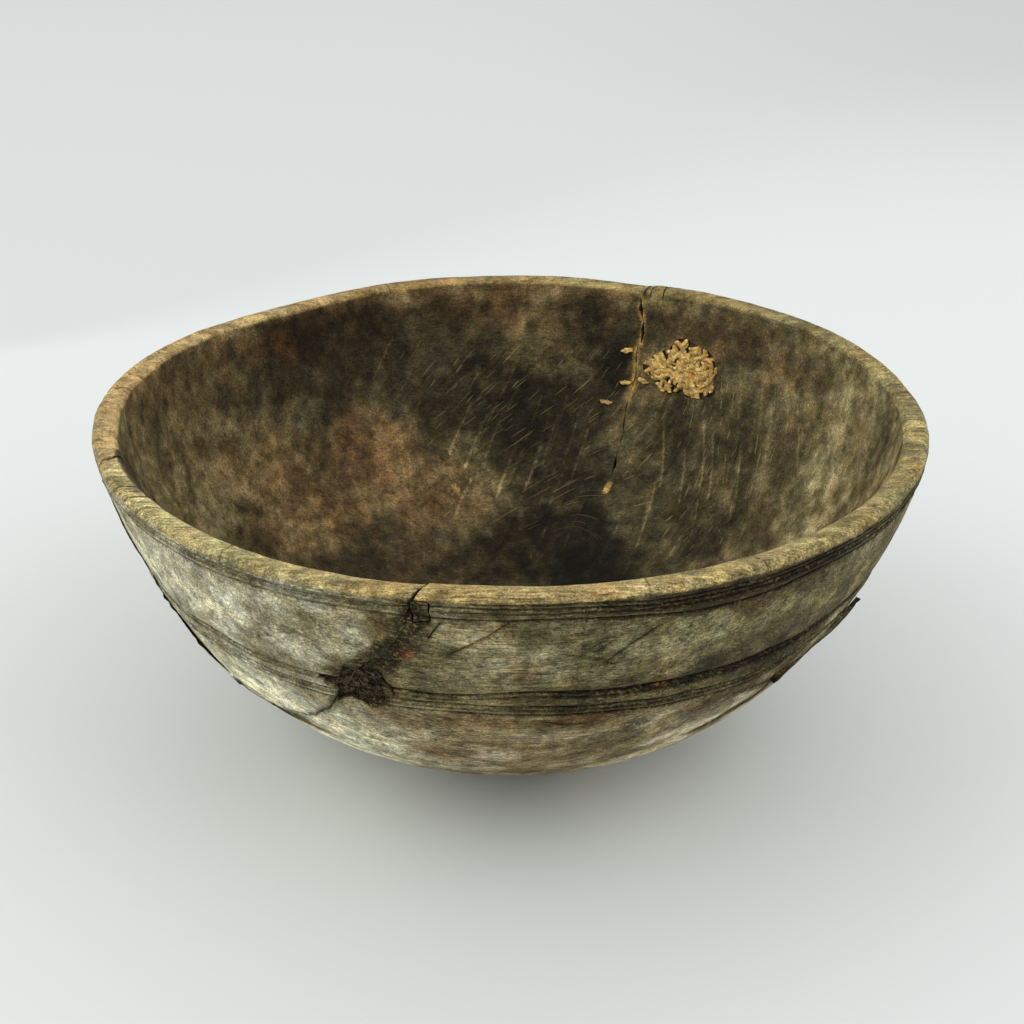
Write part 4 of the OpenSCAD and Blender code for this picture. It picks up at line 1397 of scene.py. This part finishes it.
def filling_material(name):
    """The golden, slightly waxy filling: bright on its strings, with painted shade in the gaps between them.
    """
    n = Nodes(name)
    height = n.attribute("height").outputs["Fac"]
    streaks = n.noise((1.6, 1.6, 1.6), 4.0, 0.6, 0.8)
    spots = n.noise(0.5, 2.0, 0.5)
    golden = n.mix(n.ramp(streaks, 0.40, 0.62), (0.44, 0.245, 0.055, 1), (0.80, 0.56, 0.17, 1))
    golden = n.mix(n.ramp(n.noise(4.5, 3.0), 0.48, 0.58, 0.0, 0.75), golden, (0.24, 0.160, 0.045, 1))
    golden = n.mix(n.ramp(n.noise(5.5, 2.0), 0.58, 0.66, 0.0, 0.8), golden, (0.42, 0.19, 0.035, 1))
    golden = n.mix(n.ramp(n.noise(2.6, 2.0), 0.60, 0.70), golden, (0.90, 0.72, 0.33, 1))
    golden = n.scale_vector(golden, n.ramp(spots, 0.3, 0.7, 0.88, 1.1, "LINEAR"))
    # Painted shade: the colour goes near-black brown where the filling lies low between its strings
    colour = n.mix(n.ramp(height, 0.30, 0.62), (0.038, 0.026, 0.009, 1), golden)
    rough = n.ramp(streaks, 0.3, 0.7, 0.38, 0.6, "LINEAR")
    bumps = n.plus(streaks, n.times(spots, 0.5))
    return n.finish(colour, rough, bumps, 0.15, 0.8, 0.3)


def crumbly_material(name):
    """The dark fill: black-brown crumbs with dusty, olive and pale grains."""
    n = Nodes(name)
    lumps = n.noise(2.6, 6.0, 0.70, 0.6)
    grains = n.noise(0.9, 4.0, 0.7, 0.4)
    height = n.attribute("height").outputs["Fac"]
    colour = n.mix(n.ramp(lumps, 0.42, 0.58), (0.010, 0.007, 0.004, 1), (0.085, 0.066, 0.036, 1))
    colour = n.mix(n.ramp(height, 0.58, 0.80, 0.0, 0.7), colour, (0.120, 0.100, 0.058, 1))
    colour = n.mix(n.ramp(grains, 0.58, 0.64), colour, (0.23, 0.20, 0.125, 1))
    colour = n.mix(n.ramp(n.noise(4.0, 2.0), 0.62, 0.70, 0.0, 0.5), colour, (0.13, 0.062, 0.020, 1))
    pits = n.ramp(n.noise((1.8, 1.3, 1.3), 4.0, 0.7, 0.6), 0.50, 0.42)
    colour = n.mix(n.times(pits, 0.85), colour, (0.006, 0.004, 0.003, 1))
    bumps = n.minus(n.plus(n.times(lumps, 1.4), grains), pits)
    return n.finish(colour, n.ramp(lumps, 0.3, 0.7, 0.95, 0.8, "LINEAR"), bumps, 1.1, 1.0, 0.1)


def gum_material(name):
    """Old plant gum: dark amber-brown, glossy where it broke, dusty elsewhere."""
    n = Nodes(name)
    dust = n.noise(3.0, 4.0, 0.6)
    colour = n.mix(n.ramp(dust, 0.4, 0.65), (0.030, 0.014, 0.006, 1), (0.085, 0.052, 0.028, 1))
    rough = n.ramp(dust, 0.35, 0.65, 0.22, 0.75, "LINEAR")
    return n.finish(colour, rough, n.noise(1.4, 3.0), 0.4, 0.8)


# ---------------------------------------------------------------- camera, floor and light
VIEW_DIP = math.radians(22.16)
EXTRA_PITCH = math.radians(3.21)
CAMERA_FAR = 4.648 * RIM_R
SENSOR = 36
PICTURE_WIDTH = 1024
FOCAL_LENGTH = 1900


def camera():
    """A camera in front of the bowl, a little above it, looking down past its middle."""
    cam = bpy.data.cameras.new("camera")
    cam.sensor_width = SENSOR
    cam.lens = SENSOR * FOCAL_LENGTH / PICTURE_WIDTH
    cam.clip_start, cam.clip_end = 0.05, 30
    obj = bpy.data.objects.new("camera", cam)
    height = RIM_Z + CAMERA_FAR * math.sin(VIEW_DIP)
    obj.location = (0, -CAMERA_FAR * math.cos(VIEW_DIP) * MM, height * MM)
    obj.rotation_euler = (math.pi / 2 - VIEW_DIP - EXTRA_PITCH, 0, 0)
    bpy.context.scene.collection.objects.link(obj)
    bpy.context.scene.camera = obj


# The painted fold in the backdrop, beyond which painted shade greys it: the way that it runs, and how far
# behind the bowl it is, in metres
FOLD_WAY = (0.970, 0.243)
FOLD_FAR = 0.561


def backdrop_material():
    """White paper, with painted shade that makes it a little greyer beyond a painted soft fold behind the
    bowl, towards the right and near the camera.
    """
    n = Nodes("backdrop_white")
    at = n.add("ShaderNodeSeparateXYZ", {"Vector": n.place}).outputs
    beyond = n.minus(n.times(at[1], FOLD_WAY[0]), n.times(at[0], FOLD_WAY[1]))
    beyond = n.minus(beyond, FOLD_FAR)
    width = n.ramp(at[0], -0.45, 0.5, 0.03, 0.8)
    fold = n.ramp(n.calc("DIVIDE", beyond, width), 0.0, 1.0)
    right = n.ramp(at[0], -0.3, 0.9)
    high = n.ramp(at[1], 0.5, 1.6)
    near = n.ramp(at[1], -0.05, -0.60, 0.0, 0.09)
    # Painted shade: a little darker towards the top right, beyond the fold and near the camera
    backdrop_shade = n.ramp(n.times(right, high), 0.0, 1.0, 1.0, 0.9)
    backdrop_shade = n.minus(backdrop_shade, n.plus(n.times(fold, 0.11), near))
    n.put(n.shader.inputs["Base Color"], n.scale_vector((0.655, 0.688, 0.688), backdrop_shade))
    n.put(n.shader.inputs["Roughness"], 0.6)
    return n.material


FLOOR_HALF = 12000


def lamp(name, place, aim, size, power, colour):
    """A square lamp that points from its place to its aim, in metres and watts."""
    data = bpy.data.lights.new(name, "AREA")
    data.shape = "RECTANGLE"
    data.size = data.size_y = size
    data.energy = power
    data.color = colour
    obj = bpy.data.objects.new(name, data)
    obj.location = place
    obj.rotation_euler = (Vector(aim) - Vector(place)).to_track_quat("-Z", "Y").to_euler()
    bpy.context.scene.collection.objects.link(obj)


def stage_and_lights():
    """A wide white floor with painted shade, a bright even sky and two weak, large lamps."""
    corners = [(x * FLOOR_HALF, y * FLOOR_HALF, 0) for x, y in ((-1, -1), (1, -1), (1, 1), (-1, 1))]
    floor = make_object("floor", corners, [[0, 1, 2, 3]])
    floor.data.materials.append(backdrop_material())
    world = bpy.data.worlds.new("world")
    world.use_nodes = True
    bg = world.node_tree.nodes["Background"]
    bg.inputs["Color"].default_value = (1.0, 1.0, 0.985, 1)
    bg.inputs["Strength"].default_value = 1.0
    bpy.context.scene.world = world
    lamp("window", (-2.2, -0.5, 1.8), (0, 0, 0.08), 2.4, 24, (1.0, 0.99, 0.96))
    lamp("fill", (1.7, -0.7, 1.5), (0.3, 0, 0.05), 2.0, 14, (1.0, 0.985, 0.985))


# ---------------------------------------------------------------- the scene
bpy.context.scene.view_settings.view_transform = "Standard"
camera()
stage_and_lights()
parts = build()
PALE_PITS, DEEP_PITS = 0.6, 1.2
# Each piece's material and its slot in the CAD record
LOOKS = {
    "bowl_body": (wood_material("bowl_wood", 1.08), "bowl_wood"),
    "wall_fragment": (wood_material("fragment_wood", 1.08, PALE_PITS), "fragment_wood"),
    "rim_chip": (wood_material("chip_wood", 0.9, DEEP_PITS), "chip_wood"),
    "left_splinter": (wood_material("left_splinter_wood", 0.8, DEEP_PITS), "splinter_wood"),
    "right_splinter_upper": (wood_material("right_splinter_wood", 0.75, DEEP_PITS), "splinter_wood"),
    "right_splinter_lower": (wood_material("red_splinter_wood", 0.75, DEEP_PITS), "red_splinter_wood"),
    "dark_fill": (crumbly_material("dark_fill"), "dark_fill"),
    "pale_patch": (filling_material("pale_filling"), "pale_filling"),
    "fragment_gum_seam": (gum_material("gum"), "gum"),
}
SHARP_EDGE = math.radians(38)
for node, obj in parts.items():
    material, slot = LOOKS[node]
    if "wood" in slot:
        paint_wood(obj)
    obj.data.materials.append(material)
    obj.data.polygons.foreach_set("use_smooth", np.ones(len(obj.data.polygons), bool))
    obj.data.set_sharp_from_angle(angle=SHARP_EDGE)
    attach(obj, "root")
    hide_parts(node)
